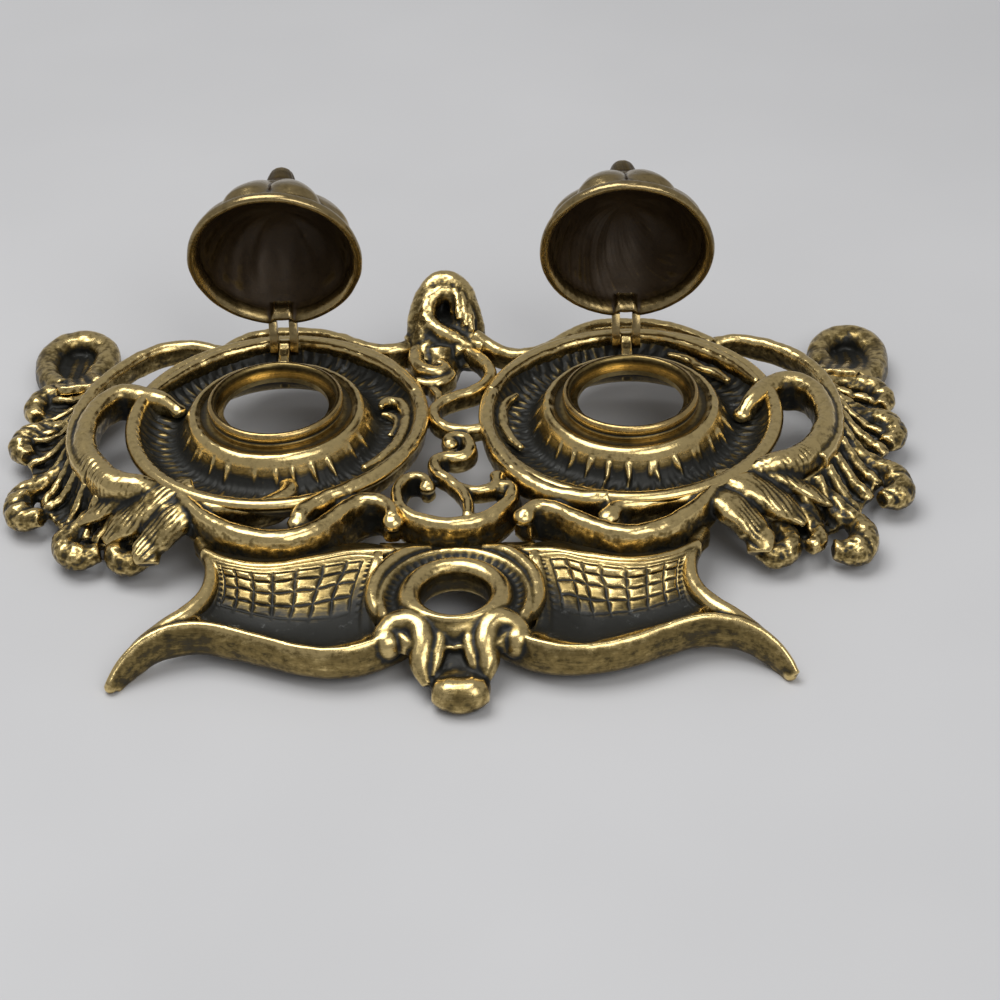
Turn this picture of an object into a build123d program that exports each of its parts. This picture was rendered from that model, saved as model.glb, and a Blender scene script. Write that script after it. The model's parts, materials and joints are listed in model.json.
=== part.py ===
from build123d import *

import os
from math import cos, radians, sin

# Desk inkstand for two ink liners: a pierced brass casting in the rococo manner that stands
# on two horn feet, a ball foot and two rear curls, with a turned collar and a hinged domed
# lid at each well and a pen tray in front. Millimetres, +Z up, +Y to the back, table at z = 0.
# The origin is on the table under the middle of the outline.
# Outline points are given in plan, x across the inkstand and y from the line of the wells.

# ---------------------------------------------------------------- driving dimensions
HALF_WIDTH = 125.5  # middle to the outermost shell lobe
FRONT_REACH = 103.5  # well line to the front of the ball foot
BACK_REACH = 66.5  # well line to the back of the left rear foot
WELL_SPACING = 96.7  # between the two well centres

# well, from the middle outwards
LINER_HOLE_R = 14.4  # the liner hangs through this hole
SPIGOT_TOP = 23.8  # ledge round the hole, where the liner's flange rests
EDGE_THICKNESS = 1.4
LINER_BORE_R = 16.4
COLLAR_R = 18.6
SOCKET_R = 17.2  # wider lower bore of the collar, which fits over the ledge
COLLAR_TOP = 27.0
COLLAR_CLEARANCE = 0.05
BOSS_TOP = 22.8
BOSS_WALL = 3.2
RING_TOP = 23.6
RING_R = 22.4
RING_HALF_WIDTH = 2.0
DISH_R = 39.3  # crest of the dish's rim bead
DISH_TOP = 21.2
DISH_FLOOR = 15.5
DISH_WALL = 2.9
BEAD_R = 2.4

# lid, measured from its rim plane
RIM_R = 24.0
RIM_GAP = 0.3  # closed rim above the cast ring
LID_HEIGHT = 37.6
LID_WALL = 2.2
GADROONS = 8
GADROON_R = 5.1
GADROON_TIP_R = 3.3
KNOB_R = 4.2
LEFT_OPEN_ANGLE = 77.2
RIGHT_OPEN_ANGLE = 78.9

# hinge
HINGE_REACH = 31.5  # well centre to pin
HINGE_Z = 22.9
KNUCKLE_R = 2.4
PIN_R = 1.0
PIN_CLEARANCE = 0.04
LUG_WIDTH = 3.0
EAR_THICKNESS = 2.3
EAR_CLEARANCE = 0.2

# pen tray and front
TRAY_BACK_TOP = 15.5
TRAY_CREST = 12.3
TRAY_BOTTOM = 4.5
TRAY_WALL = 3.0
TRAY_HALF_WIDTH = 70.0
WAIST_HALF_WIDTH = 61.2
RING_HOLE_R = 8.8
RING_HOLE_X = 1.5
RING_HOLE_Y = -72.0
FOOT_X = 3.0
FOOT_R = 7.6
FOOT_HEIGHT = 10.0

# crest leaf
CREST_X = -3.0
CREST_BACK = 57.5  # well line to the back of the leaf
CREST_LENGTH = 24.0
CREST_THICKNESS = 6.5
CREST_LEAN = 45.0
CREST_HALF_WIDTH = 10.3
CREST_TIP_R = 6.0

# scrollwork: height of the underside and of the crest of each kind of scroll
SCROLL_BOTTOM = 14.0
SCROLL_TOP = 20.0
BAND_BOTTOM = 10.5
BAND_TOP = 20.3
CURL_TOP = 9.0
KNOB_SHARE = 0.64  # radius of the button on a scroll's end, per millimetre of its width
KNOB_RISE = 1.0  # button above the scroll

WELL_Y = (FRONT_REACH - BACK_REACH) / 2
RIM_Z = RING_TOP + RIM_GAP
SIDES = {"left": -1, "right": 1}


def plan(z):
    """A level plane whose origin is on the line of the wells."""
    return Plane.XY.offset(z).move(Location((0, WELL_Y, 0)))


def upright(x, y=0.0):
    """An upright plane facing the front, with its origin on the table at a plan point."""
    return Plane(origin=(x, WELL_Y + y, 0), x_dir=(1, 0, 0), z_dir=(0, -1, 0))


def profile_across(x):
    """An upright plane across the inkstand: local x runs to the back, local y up."""
    return Plane(origin=(x, WELL_Y, 0), x_dir=(0, 1, 0), z_dir=(1, 0, 0))


def scroll(points, width, bottom=SCROLL_BOTTOM, top=SCROLL_TOP, knobs=(False, False)):
    """A cast scroll: a band on edge along a smooth run of arcs, with a button at an end."""
    height = top - bottom
    with BuildPart() as strand:
        with BuildLine(plan(bottom)) as route:
            arc = ThreePointArc(*points[:3])
            for start, end in zip(points[2:], points[3:]):
                arc = TangentArc(start, end, tangent=arc % 1)
        along = route.line % 0
        with BuildSketch(Plane(route.line @ 0, x_dir=Vector(0, 0, 1).cross(along), z_dir=along)):
            Rectangle(width, height, align=(Align.CENTER, Align.MIN))
        sweep(path=route.line)
        for present, place in zip(knobs, (0, 1)):
            if present:
                with BuildSketch(Plane(origin=route.line @ place)):
                    RegularPolygon(width * KNOB_SHARE, 8)
                extrude(amount=height + KNOB_RISE)
    return strand.part


# ---------------------------------------------------------------- scroll routes in plan
# The two halves differ as a hand-carved pattern does, so each side has its own routes.
SCROLLS = {
    "left": [
        # outer leaf scroll, from its roll beside the dish round to the front
        dict(points=[(-86, 4), (-92, 12.5), (-100, 4), (-100, -6), (-95, -17), (-86, -26), (-77, -32)],
             width=6.5, bottom=13.0, top=22.0, knobs=(False, True)),
        # thin rail outside it
        dict(points=[(-71, 37), (-82, 41), (-92, 36), (-102, 24), (-105.5, 8), (-104.5, -6), (-99, -20)],
             width=3.6, bottom=14.0, top=19.5, knobs=(True, False)),
        # broad band below the dish
        dict(points=[(-73, -31), (-68, -40), (-58, -50), (-47, -52.5), (-36, -48), (-27, -39), (-18, -37),
                     (-14, -46)],
             width=7.0, bottom=BAND_BOTTOM, top=BAND_TOP, knobs=(True, True)),
        # bars that close the front of the dish
        dict(points=[(-70, -35), (-60, -38.5), (-47, -38), (-44.5, -32)], width=4.4, knobs=(False, True)),
        dict(points=[(-31, -34.5), (-38, -38), (-41, -47)], width=4.4, knobs=(False, True)),
        # scroll behind the dish and its arm to the crest
        dict(points=[(-68, 39), (-60, 44), (-50, 45.5), (-40, 44), (-31, 38), (-22, 34.5), (-13, 40)],
             width=5.2, bottom=14.0, top=20.5, knobs=(False, False)),
    ],
    "right": [
        dict(points=[(86, 2), (93, 13), (100.5, 4), (101, -6), (97, -17), (88, -25), (76, -28)],
             width=6.5, bottom=13.0, top=22.0, knobs=(False, True)),
        dict(points=[(74, 38), (84, 39), (94, 32.5), (102.5, 21), (105.5, 8), (104.5, -6), (98.5, -20)],
             width=3.6, bottom=14.0, top=19.5, knobs=(True, False)),
        dict(points=[(71, -31), (66, -41), (57, -50), (47, -53), (36, -49), (27, -42), (20, -41),
                     (19, -49)],
             width=7.0, bottom=BAND_BOTTOM, top=BAND_TOP, knobs=(True, True)),
        dict(points=[(66, -37), (56, -38), (46, -40), (41, -49)], width=4.4),
        dict(points=[(73, 37), (65, 43), (54, 46), (44, 45.5), (34, 41), (23, 34.5), (11, 38)],
             width=5.2, bottom=14.0, top=20.5, knobs=(False, False)),
    ],
    "middle": [
        # open C above the pen tray's ring, with its hooked ends
        dict(points=[(-4.5, -28), (-10, -25), (-14.5, -31), (-13, -40), (-6, -46.5), (3, -48), (11, -44),
                     (16, -35), (13.5, -30)],
             width=4.2, bottom=BAND_BOTTOM, top=19.5, knobs=(True, True)),
        # strand across the C up to the snake-like scroll
        dict(points=[(2.5, -47), (4, -40), (0, -32), (-4, -25), (-3, -18.5), (2, -14), (1.5, -7)],
             width=3.4, knobs=(False, True)),
        dict(points=[(0, -31), (6, -33), (12, -29), (12.5, -26)], width=3.2, knobs=(False, True)),
        # loops between the dishes
        dict(points=[(8.5, -4), (0, -4.5), (-5, 2), (-4, 9), (2, 13), (8, 17), (10, 24), (6, 31), (1, 37)],
             width=3.6, knobs=(False, False)),
        # pair of rolls either side of the throat
        dict(points=[(-15, -87.5), (-8, -83), (-4, -86), (-7, -93)], width=5.0, bottom=6.0, top=14.6),
        dict(points=[(18, -86.5), (12, -83), (7, -86), (10, -93)], width=5.0, bottom=6.0, top=14.6),
        # twisted stalk of the crest leaf
        dict(points=[(-5, 36), (-9.5, 29), (-8, 22), (-10.5, 17)], width=5.6, knobs=(False, True)),
    ],
}

# shell lobes: direction from the middle of the fan, reach and size
FAN_X = 80.0
FAN_Y = -2.0
FAN_INNER = (20.0, 17.5)  # radius and height where the ribs leave the scroll
FAN_OUTER_Z = 9.0
FAN_WEB = 2.6
FAN_WEB_R = 36.0
FAN_SPAN = 122.0  # degrees, from the front round to the back
SHELL_LOBES = {
    "left": [(34, 43, 4.0), (-34, 36, 5.0), (-65, 41, 4.8), (-86, 42, 3.8)],
    "right": [(34, 43, 4.0), (-27, 41, 5.8), (-62, 46, 4.8), (-74, 44, 2.8), (-86, 44, 3.8)],
}
FLUTES = (22, -5, -16, -44, -54)  # directions of the plain ribs between the lobes
FLUTE_REACH = 36.0
FLUTE_R = 2.3
WIDEST_LOBE_R = 4.6
WIDEST_LOBE_Y = 6.0  # from the fan's middle

# troughs of the tray: distance from the middle, back border, front rail
TROUGH_STATIONS = [(19.5, -59.5, -86.8), (28, -60, -89.4), (47, -63.5, -84.8), (58, -62, -81.6)]

# horn feet: centre, direction, half width and half height of each section
HORN_STATIONS = [
    ((60, -79.5, 10.2), (1, 0, 0), (3.4, 2.9)),
    ((70, -80.5, 10.0), (1, -0.2, -0.15), (3.2, 3.4)),
    ((78, -83.6, 7.0), (0.8, -0.5, -0.6), (2.6, 3.6)),
    ((85.0, -90.6, 1.4), (0.5, -0.6, -0.6), (1.3, 1.5)),
]

# rear feet: middle of the curl in x, distance of its back from the well line, and its tail
CURLS = {
    "left": dict(x=-112.5, back=BACK_REACH, tail=[(-119, 40), (-114, 30)]),
    "right": dict(x=113.0, back=BACK_REACH - 7, tail=[(119, 33), (115, 23)]),
}
CURL_WIDTH = 5.6


def dish(x):
    """A shallow round dish with a rim bead, a raised ring and a ledge round the liner hole."""
    inner = RING_R - RING_HALF_WIDTH
    outer = RING_R + RING_HALF_WIDTH
    spigot = SOCKET_R - COLLAR_CLEARANCE
    with BuildPart() as body:
        with BuildSketch(upright(x)):
            with BuildLine():
                Polyline((RING_R, RING_TOP), (inner, BOSS_TOP), (spigot, BOSS_TOP), (spigot, SPIGOT_TOP),
                         (LINER_HOLE_R, SPIGOT_TOP), (LINER_HOLE_R, SPIGOT_TOP - EDGE_THICKNESS),
                         (outer - 2, BOSS_TOP - BOSS_WALL - 2), (outer + 1, DISH_FLOOR - DISH_WALL),
                         (DISH_R - 4, DISH_FLOOR - DISH_WALL), (DISH_R + BEAD_R, DISH_TOP - BEAD_R),
                         (DISH_R + BEAD_R / 2, DISH_TOP), (DISH_R - BEAD_R / 2, DISH_TOP),
                         (DISH_R - 5.5, DISH_FLOOR), (outer + 3.5, DISH_FLOOR), (outer, BOSS_TOP),
                         close=True)
            make_face()
        revolve(axis=Axis((x, WELL_Y, 0), (0, 0, 1)))
    return body.part


def hinge_lug(x):
    """The lug behind a well that stands between the lid's two ears."""
    foot = RING_R + RING_HALF_WIDTH
    with BuildPart() as lug:
        with BuildSketch(profile_across(x).offset(-LUG_WIDTH / 2)):
            with BuildLine():
                Polyline((foot, DISH_FLOOR - 1), (HINGE_REACH + KNUCKLE_R, DISH_FLOOR - 1),
                         (HINGE_REACH + KNUCKLE_R, HINGE_Z), (HINGE_REACH - KNUCKLE_R, HINGE_Z),
                         (foot, HINGE_Z - 3), close=True)
            make_face()
            with Locations((HINGE_REACH, HINGE_Z)):
                Circle(KNUCKLE_R)
                Circle(PIN_R + PIN_CLEARANCE, mode=Mode.SUBTRACT)
        extrude(amount=LUG_WIDTH)
    return lug.part


def shell_fan(side, name):
    """Half a scallop shell: a sloping web with ribs that end in lobes."""
    centre = Vector(side * FAN_X, WELL_Y + FAN_Y, 0)
    r_in, z_in = FAN_INNER
    z_out = FAN_OUTER_Z + 1.6
    widest_reach = HALF_WIDTH - WIDEST_LOBE_R - FAN_X
    with BuildPart() as fan:
        with BuildSketch(Plane(origin=centre, x_dir=(0, -1, 0), z_dir=(-1, 0, 0))):
            with BuildLine():
                Polyline((r_in, z_in - FAN_WEB), (r_in, z_in), (FAN_WEB_R, z_out),
                         (FAN_WEB_R, z_out - FAN_WEB), close=True)
            make_face()
        revolve(axis=Axis(tuple(centre), (0, 0, side)), revolution_arc=FAN_SPAN)
        for direction, reach, size in SHELL_LOBES[name]:
            out = Vector(side * cos(radians(direction)), sin(radians(direction)), 0)
            fan_rib(centre, out, reach, size, lobed=True)
        for direction in FLUTES:
            out = Vector(side * cos(radians(direction)), sin(radians(direction)), 0)
            fan_rib(centre, out, FLUTE_REACH, FLUTE_R, lobed=False)
        tip = Vector(side * widest_reach, WIDEST_LOBE_Y, 0)
        fan_rib(centre, tip.normalized(), tip.length, WIDEST_LOBE_R, lobed=False)
        with Locations(centre + tip + Vector(0, 0, FAN_OUTER_Z)):
            Cylinder(WIDEST_LOBE_R, WIDEST_LOBE_R)
    return fan.part


def fan_rib(centre, out, reach, size, lobed):
    """One rib of a shell: a six-sided taper that widens outwards, and may end in a lobe."""
    r_in, z_in = FAN_INNER
    start = centre + out * r_in + Vector(0, 0, z_in)
    end = centre + out * (reach - size / 2) + Vector(0, 0, FAN_OUTER_Z)
    way = end - start
    tip = end + way.normalized() * size * 0.6
    stations = [(start, size * 0.4), (end, size)]
    if lobed:
        stations.append((tip, size * 0.5))
    sections = []
    for place, radius in stations:
        with BuildSketch(Plane(origin=place, x_dir=way.cross(Vector(0, 0, 1)), z_dir=way),
                         mode=Mode.PRIVATE) as station:
            RegularPolygon(radius, 6)
        sections.append(station.sketch)
    loft(sections=sections, ruled=True)


def pen_tray():
    """The tray with its two troughs, the ring between them and the front rail."""
    with BuildPart() as tray:
        # cross-section from the back border down the trough to the front rail
        with BuildSketch(profile_across(-TRAY_HALF_WIDTH)):
            with BuildLine():
                Polyline((-45, TRAY_BACK_TOP - 4), (-45, TRAY_BACK_TOP), (-64, TRAY_BACK_TOP),
                         (-80, TRAY_CREST + 0.6), (-93, TRAY_CREST), (-93, TRAY_BOTTOM),
                         (-84, TRAY_BOTTOM), (-79, TRAY_BOTTOM + 0.6), (-62, TRAY_BACK_TOP - 5),
                         close=True)
            make_face()
        extrude(amount=2 * TRAY_HALF_WIDTH)
        # outline seen from above, with a concave waist behind each horn
        with BuildSketch(plan(0)):
            with BuildLine():
                for side in (-1, 1):
                    Line((0, -84), (side * 10, -84))
                    inner = TangentArc((side * 10, -84), (side * 28, -89.4), tangent=(side, -0.6))
                    outer = TangentArc((side * 28, -89.4), (side * 47, -84.8), tangent=inner % 1)
                    TangentArc((side * 47, -84.8), (side * 69.5, -81.5), tangent=outer % 1)
                    Line((side * 69.5, -81.5), (side * 69.5, -77.5))
                    ThreePointArc((side * 69.5, -77.5), (side * WAIST_HALF_WIDTH, -63.5), (side * 67.5, -45.5))
                Line((-67.5, -45.5), (67.5, -45.5))
            make_face()
        extrude(amount=30, mode=Mode.INTERSECT)
        with BuildSketch(plan(0)):
            with Locations((RING_HOLE_X, RING_HOLE_Y)):
                Circle(RING_HOLE_R + 3)
        extrude(amount=30, mode=Mode.SUBTRACT)
        for side in (-1, 1):
            # arch under the root of each horn
            with BuildSketch(upright(0)):
                with Locations((side * 64, -16)):
                    Circle(23.5)
            extrude(amount=100, mode=Mode.SUBTRACT)
            # trough
            stations = []
            for x, back, rail in TROUGH_STATIONS:
                with BuildSketch(profile_across(side * x), mode=Mode.PRIVATE) as station:
                    with BuildLine():
                        Polyline((back, 30), (back, TRAY_BACK_TOP - 1.4), (back - 2.5, TRAY_BACK_TOP - 2.6),
                                 (rail + 8, TRAY_BOTTOM + TRAY_WALL + 0.8),
                                 (rail + 2.6, TRAY_CREST - 1.2), (rail + 1.8, 30), close=True)
                    make_face()
                stations.append(station.sketch)
            loft(sections=stations, ruled=True, mode=Mode.SUBTRACT)
    return tray.part


def horn(side):
    """A horn foot: it leaves the end of the front rail and curves out and down to the table."""
    with BuildPart() as tusk:
        stations = []
        for (x, y, z), way, (wide, high) in HORN_STATIONS:
            place = Plane(origin=(side * x, WELL_Y + y, z), z_dir=(side * way[0], way[1], way[2]),
                          x_dir=Vector(0, 0, 1).cross(Vector(side * way[0], way[1], way[2])))
            with BuildSketch(place, mode=Mode.PRIVATE) as station:
                with BuildLine():
                    Polyline((-wide, 0), (-wide / 2, high), (wide / 2, high), (wide, 0),
                             (wide / 2, -high), (-wide / 2, -high), close=True)
                make_face()
            stations.append(station.sketch)
        loft(sections=stations, ruled=True)
        split(bisect_by=Plane.XY, keep=Keep.TOP)
    return tusk.part


def front_ring():
    """The raised double ring round the hole in the middle of the tray."""
    axis = Axis((RING_HOLE_X, WELL_Y + RING_HOLE_Y, 0), (0, 0, 1))
    with BuildPart() as ring:
        with BuildSketch(upright(RING_HOLE_X, RING_HOLE_Y)):
            with BuildLine():
                Polyline((RING_HOLE_R, 8.0), (RING_HOLE_R, 14.8), (RING_HOLE_R + 3, 16.6), (16.2, 12.6),
                         (18.6, 15.0), (20.4, 8.0), close=True)
            make_face()
        revolve(axis=axis)
        # the ring stops at the front rail
        with BuildSketch(plan(0)):
            with Locations((RING_HOLE_X, -100)):
                Rectangle(60, 28)
        extrude(amount=30, mode=Mode.SUBTRACT)
    return ring.part


def front_foot():
    """The ball foot and the throat that carries it from the front rail."""
    ball_y = -FRONT_REACH + FOOT_R
    with BuildPart() as foot:
        # turned ball, with a bevel above and below its widest part
        with BuildSketch(upright(FOOT_X, ball_y)):
            with BuildLine():
                Polyline((0, 0), (FOOT_R - 2.6, 0), (FOOT_R, 3.0), (FOOT_R, FOOT_HEIGHT - 4.4),
                         (FOOT_R - 3.4, FOOT_HEIGHT), (0, FOOT_HEIGHT), close=True)
            make_face()
        revolve(axis=Axis((FOOT_X, WELL_Y + ball_y, 0), (0, 0, 1)))
        with BuildSketch(upright(FOOT_X, -84), mode=Mode.PRIVATE) as root:
            with BuildLine():
                Polyline((-17, 8), (-11, 12.6), (11, 12.6), (17, 8), (10, 3), (-10, 3), close=True)
            make_face()
        with BuildSketch(upright(FOOT_X, ball_y), mode=Mode.PRIVATE) as end:
            with BuildLine():
                Polyline((-6, 5), (-4, 8.6), (4, 8.6), (6, 5), (4, 1.4), (-4, 1.4), close=True)
            make_face()
        loft(sections=[root.sketch, end.sketch], ruled=True)
    return foot.part


def rear_foot(name):
    """A rear foot: a leaf that runs down from the rail to the table and rolls up at its end."""
    curl = CURLS[name]
    x, top = curl["x"], curl["back"] - CURL_WIDTH / 2
    side = SIDES[name]
    inner, outer = (x - side * 8, top - 13.1), (x + side * 8, top - 13.1)
    with BuildPart() as foot:
        add(scroll([inner, (x, top), outer] + curl["tail"], CURL_WIDTH, bottom=0, top=CURL_TOP))
        # the leaf between the rail and the curl
        with BuildSketch(upright(side * 104, 22), mode=Mode.PRIVATE) as root:
            with Locations((0, 13.5)):
                Rectangle(9, 3)
        with BuildSketch(upright(x, top - 9), mode=Mode.PRIVATE) as end:
            with Locations((0, 4)):
                Rectangle(12, 3)
        loft(sections=[root.sketch, end.sketch], ruled=True)
    return foot.part


def crest_leaf():
    """The leaf at the back: leans backwards, rounded on top, with a deep oval hollow."""
    lean = radians(CREST_LEAN)
    rise = CREST_LENGTH * sin(lean)
    foot_y = CREST_BACK - CREST_LENGTH * cos(lean) - CREST_THICKNESS * sin(lean)
    foot = Vector(CREST_X, WELL_Y + foot_y, SCROLL_TOP - 2)
    face = Plane(origin=foot, x_dir=(1, 0, 0), z_dir=(0, -sin(lean), cos(lean)))
    half = CREST_HALF_WIDTH
    shoulder = CREST_LENGTH - CREST_TIP_R
    with BuildPart() as leaf:
        with BuildSketch(face):
            with BuildLine():
                ThreePointArc((-half, -4), (-half + 0.6, shoulder / 2), (-CREST_TIP_R - 1, shoulder))
                ThreePointArc((-CREST_TIP_R - 1, shoulder), (-1, CREST_LENGTH), (CREST_TIP_R - 1, shoulder))
                ThreePointArc((CREST_TIP_R - 1, shoulder), (half - 1.6, shoulder / 2), (half + 1, -4))
                Line((half + 1, -4), (-half, -4))
            make_face()
        extrude(amount=-CREST_THICKNESS)
        with BuildSketch(face):
            with Locations((-1, 13.5)):
                SlotOverall(13, 5, rotation=98)
        extrude(amount=-CREST_THICKNESS * 0.75, mode=Mode.SUBTRACT)
    return leaf.part


with BuildPart() as base_casting:
    pieces = [pen_tray(), front_ring(), front_foot(), crest_leaf()]
    for name, side in SIDES.items():
        x = side * WELL_SPACING / 2
        pieces += [dish(x), hinge_lug(x), shell_fan(side, name), horn(side), rear_foot(name)]
    for routes in SCROLLS.values():
        pieces += [scroll(**route) for route in routes]
    for piece in pieces:
        add(piece, clean=False)


def well_collar(x):
    """A turned collar with a bevelled lip, set over the ledge round the liner hole."""
    with BuildPart() as collar:
        with BuildSketch(upright(x)):
            with BuildLine():
                Polyline((SOCKET_R, BOSS_TOP), (COLLAR_R, BOSS_TOP), (COLLAR_R, COLLAR_TOP - 1),
                         (COLLAR_R - 1, COLLAR_TOP), (LINER_BORE_R, COLLAR_TOP),
                         (LINER_BORE_R, SPIGOT_TOP), (SOCKET_R, SPIGOT_TOP), close=True)
            make_face()
        revolve(axis=Axis((x, WELL_Y, 0), (0, 0, 1)))
    return collar.part


def closed_lid(x):
    """A hollow domed lid, shown closed: gadroons, finial and the two ears of its hinge."""
    axis = Axis((x, WELL_Y, 0), (0, 0, 1))
    side_view = upright(x)
    with BuildPart() as lid:
        # dome in the valleys between the gadroons, with the finial
        with BuildSketch(side_view):
            with BuildLine():
                Polyline((0, RIM_Z), (RIM_R, RIM_Z), (RIM_R, RIM_Z + 1.4), (17.6, RIM_Z + 12.4),
                         (9.0, RIM_Z + 22.6), (6.4, RIM_Z + 28.0), (3.4, RIM_Z + 30.0),
                         (KNOB_R, RIM_Z + 33.2), (KNOB_R / 2, RIM_Z + LID_HEIGHT), (0, RIM_Z + LID_HEIGHT),
                         close=True)
            make_face()
        revolve(axis=axis)
        # gadroons: tapered ribs over the dome, each ending in a blunt foot above the rim
        foot = Vector(x + 16.9, WELL_Y, RIM_Z + 9.0)
        rise = Vector(-8.9, 0, 13.0)
        sections = []
        for along, radius in ((0, GADROON_R), (1, GADROON_TIP_R)):
            with BuildSketch(Plane(origin=foot + rise * along, x_dir=(0, 1, 0), z_dir=rise),
                             mode=Mode.PRIVATE) as station:
                RegularPolygon(radius, 6)
            sections.append(station.sketch)
        with BuildPart(mode=Mode.PRIVATE) as gadroon:
            loft(sections=sections, ruled=True)
        for turn in range(GADROONS):
            add(gadroon.part.rotate(axis, (turn + 0.5) * 360 / GADROONS))
        # hollow underside
        with BuildSketch(side_view):
            with BuildLine():
                Polyline((0, RIM_Z - 1), (RIM_R - LID_WALL, RIM_Z - 1), (15.6, RIM_Z + 12.6),
                         (6.0, RIM_Z + 22.4), (0, RIM_Z + 22.4), close=True)
            make_face()
        revolve(axis=axis, mode=Mode.SUBTRACT)
        # slot in the rim that the lug stands in front of
        with BuildSketch(upright(x, RIM_R - 3.4)):
            with Locations((0, RIM_Z)):
                Rectangle(LUG_WIDTH + 2 * EAR_CLEARANCE, 8)
        extrude(amount=-8, mode=Mode.SUBTRACT)
        # ears
        for hand in (-1, 1):
            inside = LUG_WIDTH / 2 + EAR_CLEARANCE
            start = x + (inside if hand > 0 else -inside - EAR_THICKNESS)
            with BuildSketch(profile_across(start)):
                with BuildLine():
                    Polyline((RIM_R - 1.6, RIM_Z), (RIM_R + 0.4, RIM_Z), (HINGE_REACH, HINGE_Z - KNUCKLE_R),
                             (HINGE_REACH, HINGE_Z + KNUCKLE_R), (RIM_R - 1.8, RIM_Z + 4.2), close=True)
                make_face()
                with Locations((HINGE_REACH, HINGE_Z)):
                    Circle(KNUCKLE_R)
                    Circle(PIN_R + PIN_CLEARANCE, mode=Mode.SUBTRACT)
            extrude(amount=EAR_THICKNESS)
    return lid.part


def hinge_pin(x):
    """A plain pin across the two ears and the lug."""
    length = LUG_WIDTH + 2 * (EAR_THICKNESS + EAR_CLEARANCE) + 0.6
    with BuildPart() as pin:
        with BuildSketch(profile_across(x - length / 2)):
            with Locations((HINGE_REACH, HINGE_Z)):
                Circle(PIN_R)
        extrude(amount=length)
    return pin.part


os.makedirs("parts", exist_ok=True)
base_casting.part.label = "base_casting"
export_step(base_casting.part, "parts/base_casting.step")
for name, side in SIDES.items():
    x = side * WELL_SPACING / 2
    open_angle = LEFT_OPEN_ANGLE if side < 0 else RIGHT_OPEN_ANGLE
    hinge_axis = Axis((0, WELL_Y + HINGE_REACH, HINGE_Z), (1, 0, 0))
    collar = well_collar(x)
    collar.label = f"{name}_well_collar"
    export_step(collar, f"parts/{name}_well_collar.step")
    with BuildPart() as lid:
        add(closed_lid(x).rotate(hinge_axis, -open_angle))
    lid.part.label = f"{name}_lid"
    export_step(lid.part, f"parts/{name}_lid.step")
    pin = hinge_pin(x)
    pin.label = f"{name}_hinge_pin"
    export_step(pin, f"parts/{name}_hinge_pin.step")
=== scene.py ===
import json
import math

import bpy
import numpy as np
from bpy.props import FloatProperty, FloatVectorProperty, PointerProperty
from mathutils import Matrix, Vector


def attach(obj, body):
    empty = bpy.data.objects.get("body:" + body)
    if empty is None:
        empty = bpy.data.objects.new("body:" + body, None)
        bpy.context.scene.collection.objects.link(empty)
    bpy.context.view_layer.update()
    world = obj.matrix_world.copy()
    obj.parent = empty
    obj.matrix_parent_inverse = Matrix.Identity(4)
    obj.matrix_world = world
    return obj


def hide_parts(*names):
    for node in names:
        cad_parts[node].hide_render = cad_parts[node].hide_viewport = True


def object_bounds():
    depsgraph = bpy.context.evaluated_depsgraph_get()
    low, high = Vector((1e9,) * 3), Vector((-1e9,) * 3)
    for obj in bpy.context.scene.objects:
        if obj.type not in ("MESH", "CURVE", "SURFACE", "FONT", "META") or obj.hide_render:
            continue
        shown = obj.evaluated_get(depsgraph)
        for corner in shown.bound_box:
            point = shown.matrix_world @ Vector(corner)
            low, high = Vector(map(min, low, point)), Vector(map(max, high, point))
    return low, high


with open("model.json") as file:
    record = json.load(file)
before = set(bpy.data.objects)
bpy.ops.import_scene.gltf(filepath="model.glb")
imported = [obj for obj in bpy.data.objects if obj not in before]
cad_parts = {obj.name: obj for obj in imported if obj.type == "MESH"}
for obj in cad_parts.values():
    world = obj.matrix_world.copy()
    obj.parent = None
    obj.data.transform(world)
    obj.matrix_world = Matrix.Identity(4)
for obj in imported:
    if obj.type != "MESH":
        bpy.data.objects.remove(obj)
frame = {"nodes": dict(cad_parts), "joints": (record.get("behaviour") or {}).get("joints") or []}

bl_info = {
    "name": "Brass Inkstand",
    "version": (1, 0, 0),
    "blender": (4, 5, 0),
    "location": "3D View > Sidebar > Inkstand",
    "description": "Models an aged brass desk inkstand round its packed frame",
    "category": "Add Mesh",
}

CAD_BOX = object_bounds()
MM = 0.001
SIDES = {"left": -1, "right": 1}
WELL_X, WELL_Y = 48.35, 18.5  # middle of a well, from the middle of the inkstand
HINGE_Y, HINGE_Z = 50.0, 22.9  # hinge line
RIM_Z = 23.9  # rim plane of a closed lid
OPEN_DEGREES = {j["child"].split("_")[0]: j["range_deg"][1] for j in frame["joints"]}
RING_X, RING_Y = 1.5, -72.0  # middle of the pen tray's ring, in lines of the casting
BALL_X, BALL_Y = 3.0, -95.9  # middle of the ball foot
GRIND_MARGIN = 0.05  # how far inside the solids' reach castings are ground off
LEDGE_ANGLE = math.radians(50)  # edges sharper than this stay sharp

# Lines of the casting below are in millimetres in plan: x across the inkstand,
# y from the line of the wells, and z above the table.


# ------------------------------------------------------------------ modelling helpers
def deselect():
    """Nothing selected and object mode."""
    if bpy.context.object and bpy.context.object.mode != "OBJECT":
        bpy.ops.object.mode_set(mode="OBJECT")
    bpy.ops.object.select_all(action="DESELECT")


def activate(obj):
    """Makes obj the one selected and active object."""
    deselect()
    obj.select_set(True)
    bpy.context.view_layer.objects.active = obj
    return obj


def apply_modifier(obj, kind, **settings):
    """Adds one modifier with its settings and applies it."""
    activate(obj)
    modifier = obj.modifiers.new(kind.title(), kind)
    for name, value in settings.items():
        setattr(modifier, name, value)
    bpy.ops.object.modifier_apply(modifier=modifier.name)
    return obj


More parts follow.
